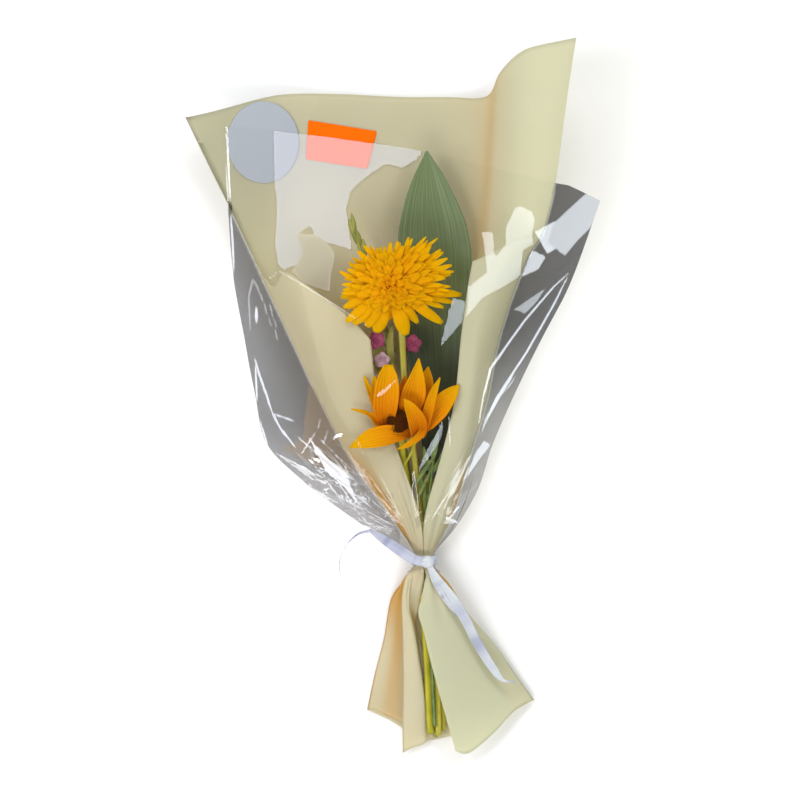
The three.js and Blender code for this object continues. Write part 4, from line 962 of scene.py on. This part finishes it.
chrysanthemum = {
    "eye": (-8, 88, 60), "crown": 9, "seed": 4, "heartDepth": 7, "bend": 0.62, "rise": 2.2,
    "widths": (0.5, 0.75, 1, 1.05, 0.85, 0.35), "droopWidths": (0.5, 0.75, 0.95, 1.05, 0.95, 0.4),
    # how far the bloom reaches from its eye, by bearing in degrees
    "reach": [(0, 49), (15, 54), (30, 55), (45, 54), (60, 47), (75, 39), (90, 36), (105, 35), (125, 39),
              (145, 38), (160, 42), (175, 37), (190, 38), (207, 37), (225, 31), (245, 26), (268, 19),
              (290, 21), (315, 27), (335, 36), (350, 45), (360, 49)],
    # rings of petals from the heart outwards: share of the reach, how many, half width
    "rings": [(0.05, 6, 1.5), (0.14, 11, 1.9), (0.26, 18, 2.2), (0.4, 26, 2.5), (0.54, 34, 2.7),
              (0.68, 42, 2.7), (0.84, 50, 2.5), (1.0, 58, 2.1)],
    # the long outer petals that droop below: tip, half width and how far the tip hangs under the eye
    "drooping": [(-18.5, 52.5, 6.2, 18), (5, 50.5, 5.6, 17), (-26, 57, 5, 15), (-36, 59, 4, 13),
                 (14, 60, 3.4, 18), (33, 60, 3.7, 20), (-41.8, 61, 3.4, 12), (-30, 61, 4, 14),
                 (-46, 80, 3, 20), (48, 82, 3.1, 18), (34, 72, 2.4, 17), (-9, 62, 3.6, 19),
                 (22, 68, 3.6, 16), (-44, 72, 3, 13), (42, 76, 2.6, 19)],
    "heart": [(0.3, -36), (12, -27), (14, -16), (8, -3), (0.3, 3)],
}
# chrysanthemum petal, waxy: warm yellow, more orange in the heart, with two soft ribs to each side
yellowPetal = {
    "name": "chrysanthemum petal, fresh and waxy", "roughness": 0.6, "specular": 0.04, "translucent": 0.5,
    "pale": [(0.0, "#f8b400"), (0.35, "#fac300"), (0.75, "#fbcd00"), (1.0, "#fcd600")],
    "deep": [(0.0, "#f6aa00"), (0.5, "#f8b300"), (1.0, "#f9bb00")],
    "ribs": 13.0, "ribDepth": 0.15, "ribHeight": 0.0003, "ribTint": None,
}


def bloomReach(bearing):
    bearings, reaches = zip(*chrysanthemum["reach"])
    return np.interp(bearing % 360, bearings, reaches)


def makeChrysanthemum():
    rng = np.random.default_rng(chrysanthemum["seed"])
    eye = np.array(chrysanthemum["eye"], float)
    shells = []
    for ring, (share, count, half) in enumerate(chrysanthemum["rings"]):
        level = chrysanthemum["crown"] * (1 - share**1.6)
        for k in range(count):
            bearing = 360 * (k + 0.5 * (ring % 2) + rng.uniform(-0.35, 0.35)) / count
            turn = math.radians(bearing)
            out, side = outward(turn), sideways(turn)
            reach = bloomReach(bearing) * np.clip(share + rng.uniform(-0.11, 0.03), 0.05, 1.0)
            root = eye + out * reach * 0.12 + (0, 0, level - chrysanthemum["heartDepth"] - 6 * share)
            tip = eye + out * reach + side * rng.normal(0, 1.8)
            tip = tip + (0, 0, level - 4 - 7 * share + rng.normal(0, 0.6))
            rise = (0, 0, chrysanthemum["rise"] + 1.5 * share)
            bend = mix(root, tip, chrysanthemum["bend"]) + rise + side * rng.normal(0, 1.3)
            wide = half * rng.uniform(0.75, 1.2)
            widths = [wide * part for part in chrysanthemum["widths"]]
            shells.append(bladeOf([root, bend, tip], side + (0, 0, rng.normal(0, 0.2)), widths, cup=0.12,
                                  thick=0.35, rows=11, tone=mix(0.15, 0.95, share) + rng.uniform(-0.15, 0.05),
                                  curl=rng.normal(0, 0.25)))
    for tipX, tipY, half, hang in chrysanthemum["drooping"]:
        tip = np.array([tipX, tipY, eye[2] - hang])
        way = unit(tip[:2] - eye[:2])
        root = eye + np.append(way * 6, -12)
        bend = mix(root, tip, 0.55) + (0, 0, 7)
        widths = [half * part for part in chrysanthemum["droopWidths"]]
        shells.append(bladeOf([root, bend, tip], (*aside(way), 0), widths, cup=-0.25, rows=14, cols=9,
                              tone=0.95, crease=0.4))
    heart = turnedShape(chrysanthemum["heart"], 12, 33, eye)
    shells.append(shellOf(heart, 0.6, 0.4, {"along": np.full(heart.shape[:2], 0.3)}))
    makePiece("chrysanthemum_bloom", shells, freshPetal(yellowPetal),
              ["chrysanthemum_petals"])


makeChrysanthemum()

sunflower = {
    "disc": (-1.5, -16.5, 47), "discRadius": 8.8, "seeds": 130, "broad": 1.07,
    "dome": [(0.2, 3.2), (5, 2.5), (8.4, 0.4), (8.8, -2), (6, -4)],
    "crown": 3.4, "crownRadius": 9.4, "seedLean": 14,
    "seedHigh": (-0.6, 1.1, 2.2), "seedRadii": [0.62, 0.5, 0.2],
    "seedTones": [(0.0, "#260f03"), (0.6, "#562907"), (1.0, "#a5600f")],
    # each ray of the half-open flower: points from root to tip, half widths along it, tone
    "rays": [
        ([(5, -12, 40), (10, 2, 50), (13, 16, 57), (14.6, 32.4, 59)], [4, 7.8, 8.8, 8.4, 6.2, 3.4, 0.4], 0.7),
        ([(12, -10, 39), (19, 8, 46), (22, 26, 52)], [3, 6, 6.6, 4.8, 0.4], 0.3),
        ([(17, -28, 43), (21, -12, 52), (25.5, 4, 57), (31, 17.5, 57)], [2.6, 3.6, 3.8, 3.4, 2.2, 0.4], 0.8),
        ([(14, -24, 41), (27, -9, 47), (38, 3, 50), (46, 12, 50)], [4, 7.4, 8.2, 6.6, 4.2, 0.4], 0.9),
        ([(-11, -19, 42), (-11.5, -6, 51), (-10, 10, 57), (-9, 27.5, 57)], [4, 7, 8.6, 9.2, 8.8, 7, 3], 0.45),
        ([(-14, -16, 39), (-19, 2, 44), (-20, 18.5, 46)], [3, 4, 3.6, 2.4, 1.0], 0.85),
        ([(-14, -18, 37), (-20, -2, 41), (-28, 18.5, 43)], [2, 2.6, 2.4, 2.0, 0.8], 0.9),
        ([(-7, -23, 40), (-16, -16.5, 43), (-26, -10, 45), (-38, -7, 46)], [4.5, 6, 4, 1.7, 1.2, 0.5], 0.85),
        ([(8, -26.5, 42), (-8, -27, 48), (-24, -30.5, 48), (-39, -37, 46)],
         [2.6, 5.4, 7.4, 7.2, 4.6, 0.5], 1),
        ([(14.5, -25, 46), (12.5, -14.5, 55), (8, -6, 59.5), (3, 0.8, 60)], [6.2, 6.8, 5.6, 3.6, 0.5], 0.55),
        ([(19, -18, 45), (16, -27, 50), (8, -33.5, 50), (-2, -38.5, 46)], [2, 2.8, 2.6, 2.2, 1.6, 0.4], 0.8),
        ([(2, -12, 38), (3, 6, 46), (4, 19, 50)], [3, 4.6, 4, 0.6], 0.1),
    ],
}
# sunflower ray: deep golden orange towards the disc, paler at the tip, with four fine ribs to each side
goldenRay = {
    "name": "sunflower ray, fresh", "roughness": 0.55, "specular": 0.06, "translucent": 0.3,
    "pale": [(0.0, "#e48000"), (0.4, "#f0a000"), (0.75, "#f5b800"), (1.0, "#f8cc00")],
    "deep": [(0.0, "#dc7000"), (0.5, "#e98e00"), (1.0, "#f1aa00")],
    "ribs": 24.0, "ribDepth": 0.5, "ribHeight": 0.0004, "ribTint": "#cf6200", "ribAmount": 0.06,
}


# sunflower disc, dry florets: nearly black brown, rough, with ochre specks at the tips
def darkSeed():
    material, add = newMaterial("sunflower disc florets, dry")
    along = add("Attribute", {"attribute_name": "along"}, out="Fac")
    base = add("ValToRGB", links={"Fac": along}, stops=sunflower["seedTones"])
    spot = add("TexCoord", out="Object")
    grain = add("TexNoise", values={"Scale": 900.0}, links={"Vector": spot})  # grains of 1 mm
    bump = add("Bump", values={"Strength": 0.4, "Distance": 0.0003}, links={"Height": grain})
    shader = add("BsdfPrincipled", values={"Roughness": 0.9, "Specular IOR Level": 0.08},
                 links={"Base Color": base, "Normal": bump})
    add("OutputMaterial", links={"Surface": shader})
    return material


def makeSunflower():
    shells = []
    for line, halves, tone in sunflower["rays"]:
        way = unit(np.subtract(line[-1], line[0])[:2])
        halves = np.array(halves) * sunflower["broad"]
        shells.append(bladeOf(line, (*aside(way), 0), halves, cup=0.42, rows=24, cols=13, tone=tone, wave=0.6,
                              crease=0.6))
    makePiece("sunflower_ray_blades", shells, freshPetal(goldenRay), ["sunflower_rays"])
    disc = np.array(sunflower["disc"], float)
    dome = turnedShape(sunflower["dome"], 10, 25, disc)
    seeds = [shellOf(dome, 0.5, 0.2, {"along": np.zeros(dome.shape[:2])})]
    for i in range(sunflower["seeds"]):
        radius = sunflower["discRadius"] * math.sqrt((i + 0.5) / sunflower["seeds"])
        out = outward(i * goldenAngle)
        height = sunflower["crown"] * math.sqrt(max(0, 1 - (radius / sunflower["crownRadius"]) ** 2))
        root, halfway, top = sunflower["seedHigh"]
        foot = disc + radius * out + (0, 0, height + root)
        lean = out * radius / sunflower["seedLean"]
        line = [foot, foot + lean * 0.6 + (0, 0, halfway), foot + lean + (0, 0, top)]
        seeds.append(tubeOf(line, sunflower["seedRadii"], 5))
    makePiece("sunflower_disc_florets", seeds, darkSeed(), ["sunflower_disc"])


makeSunflower()

print("leaves and stems")

# stem paths from the cut ends up through the tie
stemPaths = {
    "chrysanthemum": [(30.4, -263, 10.2), (28.2, -200, 11.6), (21.1, -125.6, 13.6), (15.5, -88, 16.5),
                      (10.5, -40, 23.5), (4, 8, 29), (1.6, 50, 32), (0, 80, 33.5)],
    "sunflower": [(24.2, -262, 9.8), (20.9, -200, 10.4), (15.8, -125.6, 12.6), (9, -88, 17.5), (3.5, -55, 26),
                  (1.4, -32, 32.5), (1, -18, 34.4)],
    "leaf": [(34.2, -259, 6.9), (31.5, -200, 8), (22.2, -125.6, 8.9), (23.6, -92, 8.8), (22.6, -62, 10.7)],
    "spike": [(27.8, -265, 5.7), (26.4, -200, 6.4), (18.3, -125.6, 7.2), (13.4, -92, 9), (4, -40, 16),
              (-3, 10, 21), (-8.6, 45, 24), (-20, 86, 26.5), (-31, 118, 29), (-37.5, 136, 31)],
    "rightGreen": [(27.2, -256, 14.6), (24.4, -200, 15.4), (18.3, -125.6, 16.6), (21.5, -92, 22),
                   (24, -64, 25), (26, -44, 27)],
    "leftGreen": [(14.1, -141, 8.4), (14.3, -125.6, 7.7), (8, -92, 9), (-1, -60, 12), (-7, -36, 14)],
}


# plant skin, fresh: green with a waxy gloss, lighter along its ribs
def plantSkin(name, stops, roughness, ribs):
    material, add = newMaterial(name)
    across = add("Attribute", {"attribute_name": "across"}, out="Fac")
    spot = add("TexCoord", out="Object")
    patch = add("TexNoise", values={"Scale": 90.0, "Detail": 3.0}, links={"Vector": spot})  # patches of 11 mm
    wave = add("Math", {"operation": "MULTIPLY"}, {1: ribs}, {0: across})
    rib = add("Math", {"operation": "SINE"}, links={0: wave})
    tint = add("Math", {"operation": "MULTIPLY_ADD"}, {1: 0.12}, {0: rib, 2: patch})
    colour = add("ValToRGB", links={"Fac": tint}, stops=stops)
    bump = add("Bump", values={"Strength": 0.2, "Distance": 0.0003}, links={"Height": rib})
    shader = add("BsdfPrincipled", values={"Roughness": roughness, "Specular IOR Level": 0.35},
                 links={"Base Color": colour, "Normal": bump})
    add("OutputMaterial", links={"Surface": shader})
    return material


def stalk(path, radius, sides=14, rows=90, tone=0.5):
    line = curveThrough(path, np.linspace(0, 1, rows))
    swell = 1 + 0.06 * np.sin(np.linspace(0, 31, rows))
    swell[0] *= 0.93
    return tubeOf(line, radius * swell, sides, tone)


# radii of the stalks of the chrysanthemum and of the greenery
flowerStalk, greenStalk = 2.5, 1.5

paleStem = plantSkin("chrysanthemum stem, fresh", [(0.3, "#a8a036"), (0.7, "#c4ba4e")], 0.5, 20)
greenStem = plantSkin("sunflower stem, fresh", [(0.3, "#9a9618"), (0.7, "#b6ac26")], 0.55, 20)
budSkin = plantSkin("flower spike, fresh buds", [(0.3, "#737c34"), (0.7, "#aea854")], 0.5, 14)
thinSkin = plantSkin("narrow greenery, fresh", [(0.3, "#3f5526"), (0.7, "#7f8f4c")], 0.42, 12)

# calyx leaves under the bloom: distance out along x and y, and height, at root, middle and tip
calyx = {"centre": (0, 86), "count": 14, "points": [(4, 4, 31), (9, 8, 32.5), (14, 13, 35.5)],
         "halves": [1.4, 2.6, 2.2, 0.4]}


def makeChrysanthemumStem():
    shells = [stalk(stemPaths["chrysanthemum"], flowerStalk)]
    x, y = calyx["centre"]
    for turn in np.linspace(0, fullTurn, calyx["count"], endpoint=False):
        line = [(x + wide * math.cos(turn), y + high * math.sin(turn), z)
                for wide, high, z in calyx["points"]]
        shells.append(bladeOf(line, sideways(turn), calyx["halves"]))
    makePiece("chrysanthemum_stalk", shells, paleStem, ["chrysanthemum_stem"])


makeChrysanthemumStem()

sunStem = {
    "radius": 2.9, "centre": (1, -15, 0), "cup": [(3, 30), (8.5, 33), (12.5, 37), (12.8, 41), (11, 42)],
    "bracts": 15, "bractFoot": 34.0, "bractStart": 8, "bractHalves": [2.8, 3.2, 1.8, 0.3],
    "bractReach": (25, 6, 3),
    "loneBract": [(13, -30, 36), (9, -41, 38), (3, -51.5, 35)], "loneHalves": [0.6, 1.0, 0.8, 0.2],
}


def makeSunStem():
    centre = np.array(sunStem["centre"], float)
    cup = turnedShape(sunStem["cup"], 10, 25, centre)
    shells = [stalk(stemPaths["sunflower"], sunStem["radius"]), shellOf(cup, 0.8)]
    for k in range(sunStem["bracts"]):
        turn = math.radians(sunStem["bractStart"]) + fullTurn * k / sunStem["bracts"]
        out = outward(turn)
        usual, slow, quick = sunStem["bractReach"]
        reach = usual + slow * math.cos(3 * turn) + quick * math.sin(5 * turn)
        foot = centre + (0, 0, sunStem["bractFoot"])
        tip = foot + out * reach + (0, 0, -1 + 2 * math.sin(7 * turn))
        shells.append(bladeOf([foot + out * 8, foot + out * reach * 0.6 + (0, 0, 1), tip], sideways(turn),
                              sunStem["bractHalves"], tone=k / sunStem["bracts"]))
    shells.append(bladeOf(sunStem["loneBract"], (1, -0.6, 0), sunStem["loneHalves"], rows=14))
    makePiece("sunflower_stalk", shells, greenStem, ["sunflower_stem"])


makeSunStem()

broadLeaf = {
    "line": [(22.6, -66, 10.5), (28.9, -31, 11.5), (30.4, 16, 13.5), (28, 66, 16.5), (26.5, 121, 19.5),
             (23.4, 160, 22.5), (21, 195, 25)],
    "halves": [1.2, 7.5, 13.5, 18.5, 22.5, 26, 28.5, 29, 26.5, 20, 11.5, 0.6],
    "thick": 0.6, "cup": 0.1, "wave": 0.5, "stalkRadius": 1.8,
    "green": [(0.3, "#55663f"), (0.55, "#69794f"), (0.75, "#84926b")],
    "shade": [(0.1, "#6c6c6c"), (0.36, "#8e8e8e"), (0.58, "#f8f8f8"), (1.0, "#ffffff")],
    "stalkColour": "#b4a836",
}


# aspidistra leaf, fresh and waxy: deep green, fine paler veins along it, darker where the flowers shade it
def broadSkin():
    material, add = newMaterial("aspidistra leaf, fresh and waxy")
    along, across, tone = (add("Attribute", {"attribute_name": mark}, out="Fac")
                           for mark in ("along", "across", "tone"))
    # the veins are 1 to 2 mm apart
    place = add("CombineXYZ", links={"X": across, "Y": along})
    drawn = add("Mapping", values={"Scale": (22.0, 1.6, 1.0)}, links={"Vector": place})
    veins = add("TexNoise", values={"Scale": 1.0, "Detail": 4.0, "Roughness": 0.6}, links={"Vector": drawn})
    green = add("ValToRGB", links={"Fac": veins}, stops=broadLeaf["green"])
    shade = add("ValToRGB", links={"Fac": along}, stops=broadLeaf["shade"])
    shaded = add("Mix", {**colourMix, "blend_type": "MULTIPLY"}, {mixShare: 1.0},
                 {mixFirst: green, mixSecond: shade}, out=mixResult)
    # only the stalk has a tone of 1
    blend = {mixShare: add("ValToRGB", links={"Fac": tone}, stops=[(0.6, "#000000"), (0.9, "#ffffff")]),
             mixFirst: shaded}
    colour = add("Mix", colourMix, {mixSecond: linear(broadLeaf["stalkColour"])}, blend, out=mixResult)
    bump = add("Bump", values={"Strength": 0.3, "Distance": 0.0004}, links={"Height": veins})
    shader = add("BsdfPrincipled", values={"Roughness": 0.42, "Specular IOR Level": 0.5},
                 links={"Base Color": colour, "Normal": bump})
    add("OutputMaterial", links={"Surface": shader})
    return material


def makeBroadLeaf():
    blade = bladeOf(broadLeaf["line"], (1, 0, 0), broadLeaf["halves"], cup=broadLeaf["cup"],
                    thick=broadLeaf["thick"], rows=90, cols=41, wave=broadLeaf["wave"])
    leafStalk = stalk(stemPaths["leaf"], broadLeaf["stalkRadius"], tone=1.0)
    leafStalk[2]["along"][:] = 0.8
    makePiece("broad_leaf_blade", [blade, leafStalk], broadSkin(), ["aspidistra_leaf"])


makeBroadLeaf()

# florets of the spike: place and size; buds at its top: root, tip and half width; small leaves: their lines
spike = {
    "radius": 1.7, "twigRadius": 0.9,
    "magenta": {"at": [(-18.5, 46.5, 34, 7), (9.8, 44, 26.6, 7.4)], "colours": ("#7a2c4a", "#b04c70"),
                "nodes": ["spike_floret_1", "spike_floret_2"]},
    "lilac": {"at": [(-14, 31, 31.5, 6.6), (-24, 18, 28, 6)], "colours": ("#96707f", "#c3a2a6"),
              "nodes": ["spike_floret_3", "spike_floret_4"]},
    "buds": [((-33, 122, 29.5), (-40, 141, 33), 2.6), ((-28, 109, 28.4), (-29, 126, 33), 2.2),
             ((-31, 118, 29), (-34, 133, 35), 2), ((-35, 128, 30), (-38, 146, 33), 1.8)],
    "leaves": [[(-3, 12, 21.2), (-13, 30, 23), (-20, 44, 22)], [(-5, 25, 22.4), (-8, 44, 29), (-6, 60, 30.6)],
               [(-2.4, 6, 20.6), (-13, 20, 25), (-21, 30, 27)]],
    "petals": 5, "petalHalves": (0.2, 0.36, 0.44, 0.3, 0.1),
}


def makeSpike():
    line = curveThrough(stemPaths["spike"], np.linspace(0, 1, 200))
    shells = [stalk(stemPaths["spike"], spike["radius"])]
    for x, y, z, _ in spike["magenta"]["at"] + spike["lilac"]["at"]:
        start = line[np.argmin(np.abs(line[:, 1] - (y - 6)))]
        twig = [start, mix(start, np.array([x, y, z - 5]), 0.6), (x, y, z - 4.6)]
        shells.append(stalk(twig, spike["twigRadius"], 8, 12))
    for root, tip, half in spike["buds"]:
        bend = mix(np.array(root), np.array(tip), 0.5) + (0, 0, 1)
        halves = [half * 0.7, half, half * 0.9, 0.3]
        shells.append(bladeOf([root, bend, tip], (1, 0.1, 0.2), halves, cup=-0.8))
    shells += [bladeOf(leaf, (0.8, 0.5, 0.1), [1, 2.8, 2.6, 0.5]) for leaf in spike["leaves"]]
    makePiece("flower_spike", shells, budSkin, ["spike_stem"])


# each floret is a short tube and a star of five petals
def makeFlorets(kind):
    shells = []
    for *at, size in spike[kind]["at"]:
        at = np.array(at, float)
        tube = [at - (0, 0, 0.75 * size), at - (0, 0, 0.3 * size), at]
        halves = [part * size for part in spike["petalHalves"]]
        shells.append(tubeOf(tube, [0.8, 1.6, 2.2], 10, 0.1))
        for k in range(spike["petals"]):
            turn = fullTurn * k / spike["petals"] + 0.4 + at[0]
            out = outward(turn)
            line = [at + out * size * 0.1 - (0, 0, 0.6), at + out * size * 0.6 + (0, 0, 1.4), at + out * size]
            shells.append(bladeOf(line, sideways(turn), halves, cup=0.3, rows=10, tone=k / spike["petals"],
                                  wave=0.4))
    deep, pale = spike[kind]["colours"]
    skin = plantSkin(kind + " floret, fresh and soft", [(0.3, deep), (0.7, pale)], 0.6, 12)
    makePiece(kind + "_florets", shells, skin, spike[kind]["nodes"])


makeSpike()
makeFlorets("magenta")
makeFlorets("lilac")

# narrow leaves: root, middle, tip and half width
greenery = {
    "right": {"path": "rightGreen", "node": "greenery_1", "leaves": [
        ((25.6, -47, 26.7), (27.5, -36, 28.4), (29.5, -24, 31), 2.3),
        ((24.6, -57, 26), (32, -47, 29), (35, -36, 31), 2.2),
        ((24.6, -57, 25.6), (20.5, -47, 28.5), (18.5, -36, 30), 2.2),
        ((22.6, -80, 23.4), (17, -68, 26.5), (15.5, -56, 28), 2),
        ((21.6, -92, 22), (27, -76, 25), (29, -58, 26), 1.4),
        ((21.6, -96, 21), (19, -80, 25), (20.5, -62, 28), 1.2),
        ((25.4, -46, 28), (17, -58, 31), (7.8, -71, 28.5), 1.5),
        ((24.6, -54, 27), (19, -66, 29.5), (12, -80, 27), 1.2)]},
    "left": {"path": "leftGreen", "node": "greenery_2", "leaves": [
        ((-6.6, -38, 14), (-10, -25, 15.5), (-13, -10, 17), 2.4),
        ((-3.6, -50, 13), (-12, -41, 14.5), (-19, -31, 16), 2.2)]},
}
for side, twig in greenery.items():
    shells = [stalk(stemPaths[twig["path"]], greenStalk, 12, 60)]
    for *line, half in twig["leaves"]:
        shells.append(bladeOf(line, (1, 0.2, 0), [half * 0.5, half, half * 0.85, 0.25], cup=0.35, rows=16,
                              tone=half % 1))
    makePiece(side + "_greenery", shells, thinSkin, [twig["node"]])

print("ribbon")

# strips of the ribbon: its line, the direction across it, its half widths and how it is shaped
ribbon = {
    "radius": 9.3, "width": 7, "thick": 0.35, "slack": 0.5, "ripple": 0.25,
    "knotAt": (3.1, -1, 3.4), "knotHalf": (4.5, 4.7, 3.2), "knotSquare": 0.7,
    "strips": [
        {"line": [(20, -127.5, 24.6), (9.5, -123.6, 24), (-4, -114.5, 25.6), (-16, -106.5, 26.4),
                  (-24, -101.5, 26)],
         "side": (0.45, 1, 0.4), "halves": [3.4, 4.3, 4.6, 4.5, 3.4, 1.6],
         "shape": {"rows": 60, "curl": 0.5, "tone": 0.25, "cup": 0.2, "wave": 0.3}},
        {"line": [(-22, -102, 26.2), (-32, -104.5, 24), (-40, -111, 19)], "side": (0.3, 1, 0.4),
         "halves": [1.2, 1.0, 0.8, 0.4], "shape": {"rows": 40, "curl": 0.8, "tone": 0.1}},
        {"line": [(-40, -111, 19), (-45, -119, 14), (-47.6, -129, 9), (-46.8, -137, 6)],
         "side": (0.1, 0.2, 1), "halves": [0.5, 0.2, 0.2, 0.9, 0.8, 0.3],
         "shape": {"rows": 40, "curl": 0.3, "tone": 0.0}},
        {"line": [(22.6, -129, 25.4), (27.3, -137, 25.2), (34.7, -147, 24.4), (43.9, -160, 23.2),
                  (52, -173, 22.2), (60.5, -190, 21), (73.3, -210.6, 19.8), (81, -219.5, 20),
                  (91, -221, 20.4)],
         "side": (1, 0.6, 0.15), "halves": [2.2, 2.5, 3.2, 4.2, 4.0, 3.7, 3.6, 3.0, 1.0, 0.3],
         "shape": {"rows": 90, "curl": -0.4, "tone": 0.95, "cup": 0.16, "wave": 0.35}},
        {"line": [(22, -129, 24.8), (26.5, -141, 24.6), (35, -155, 23.4), (44, -168, 22.4)],
         "side": (1, 0.4, 0.2), "halves": [1.6, 1.8, 2.2, 0.8],
         "shape": {"rows": 50, "curl": 0.3, "tone": 0.9, "cup": 0.2, "wave": 0.3}},
    ],
}


# satin ribbon, woven polyester: pale bluish white with a soft stripe of shine along its length, and painted
# # shade where it bends
def satin():
    material, add = newMaterial("satin ribbon, woven polyester")
    along, across, tone = (add("Attribute", {"attribute_name": mark}, out="Fac")
                           for mark in ("along", "across", "tone"))
    # the weave is really 0.1 mm; it is drawn five times as coarse, at 0.5 mm, so that it shows
    thread = add("Math", {"operation": "MULTIPLY"}, {1: 48.0}, {0: across})
    weave = add("Math", {"operation": "SINE"}, links={0: thread})
    bump = add("Bump", values={"Strength": 0.12, "Distance": 0.0002}, links={"Height": weave})
    plain = add("ValToRGB", links={"Fac": tone}, stops=[(0.0, "#a6a8c0"), (0.5, "#b8bec9"), (1.0, "#c4c8cc")])
    # painted shade: lighter and darker stretches along the ribbon where it bends
    bend = add("TexNoise", {"noise_dimensions": "1D"}, {"Scale": 5.5, "Detail": 1.0}, {"W": along})
    shade = add("ValToRGB", links={"Fac": bend}, stops=[(0.34, "#cfcfe2"), (0.54, "#ffffff")])
    base = add("Mix", {**colourMix, "blend_type": "MULTIPLY"}, {mixShare: 1.0},
               {mixFirst: plain, mixSecond: shade}, out=mixResult)
    shader = add("BsdfPrincipled", values={"Roughness": 0.3, "Specular IOR Level": 0.5, "Anisotropic": 0.6,
                                           "Sheen Weight": 0.15}, links={"Base Color": base, "Normal": bump})
    add("OutputMaterial", links={"Surface": shader})
    return material


# turns a round profile into a squarer one
def squared(a):
    return np.sign(a) * np.abs(a) ** ribbon["knotSquare"]


def makeRibbon():
    turns = np.linspace(0, fullTurn, 61)
    profile = np.linspace(-ribbon["width"] / 2, ribbon["width"] / 2, 9)
    bulge, wave = np.cos(profile / 4 * 3)[:, None], np.sin(5 * turns)[None]
    radius = ribbon["radius"] + ribbon["slack"] + ribbon["ripple"] * bulge + ribbon["ripple"] * wave
    band = np.stack([neck["x"] + radius * np.cos(turns), neck["y"] + np.repeat(profile[:, None], 61, 1),
                     neck["z"] + radius * np.sin(turns)], axis=2)
    shells = [shellOf(band[::-1], ribbon["thick"], 0.5)]
    right, up, high = ribbon["knotAt"]
    knot = np.array([neck["x"] + right, neck["y"] + up, neck["z"] + ribbon["radius"] + high])
    wide, deep, tall = ribbon["knotHalf"]
    u = np.linspace(-math.pi, math.pi, 41)
    v = np.linspace(-math.pi / 2, math.pi / 2, 21)
    level, lift = squared(np.cos(v))[:, None], squared(np.sin(v))[:, None]
    ball = np.stack([wide * level * squared(np.cos(u))[None], deep * level * squared(np.sin(u))[None],
                     np.repeat(tall * lift, len(u), 1)], axis=2)
    ball[..., 2] += 0.5 * np.sin(ball[..., 0] * 0.9 + 0.4 * ball[..., 1])
    shells.append(shellOf(ball + knot, 0.3, 0.9, {"along": np.full(ball.shape[:2], 0.3)}))
    for strip in ribbon["strips"]:
        shape = {"thick": ribbon["thick"], "cols": 11, "cup": 0.12, **strip["shape"]}
        shells.append(bladeOf(strip["line"], strip["side"], strip["halves"], **shape))
    makePiece("satin_ribbon", shells, satin(), ["ribbon_tie"])


makeRibbon()
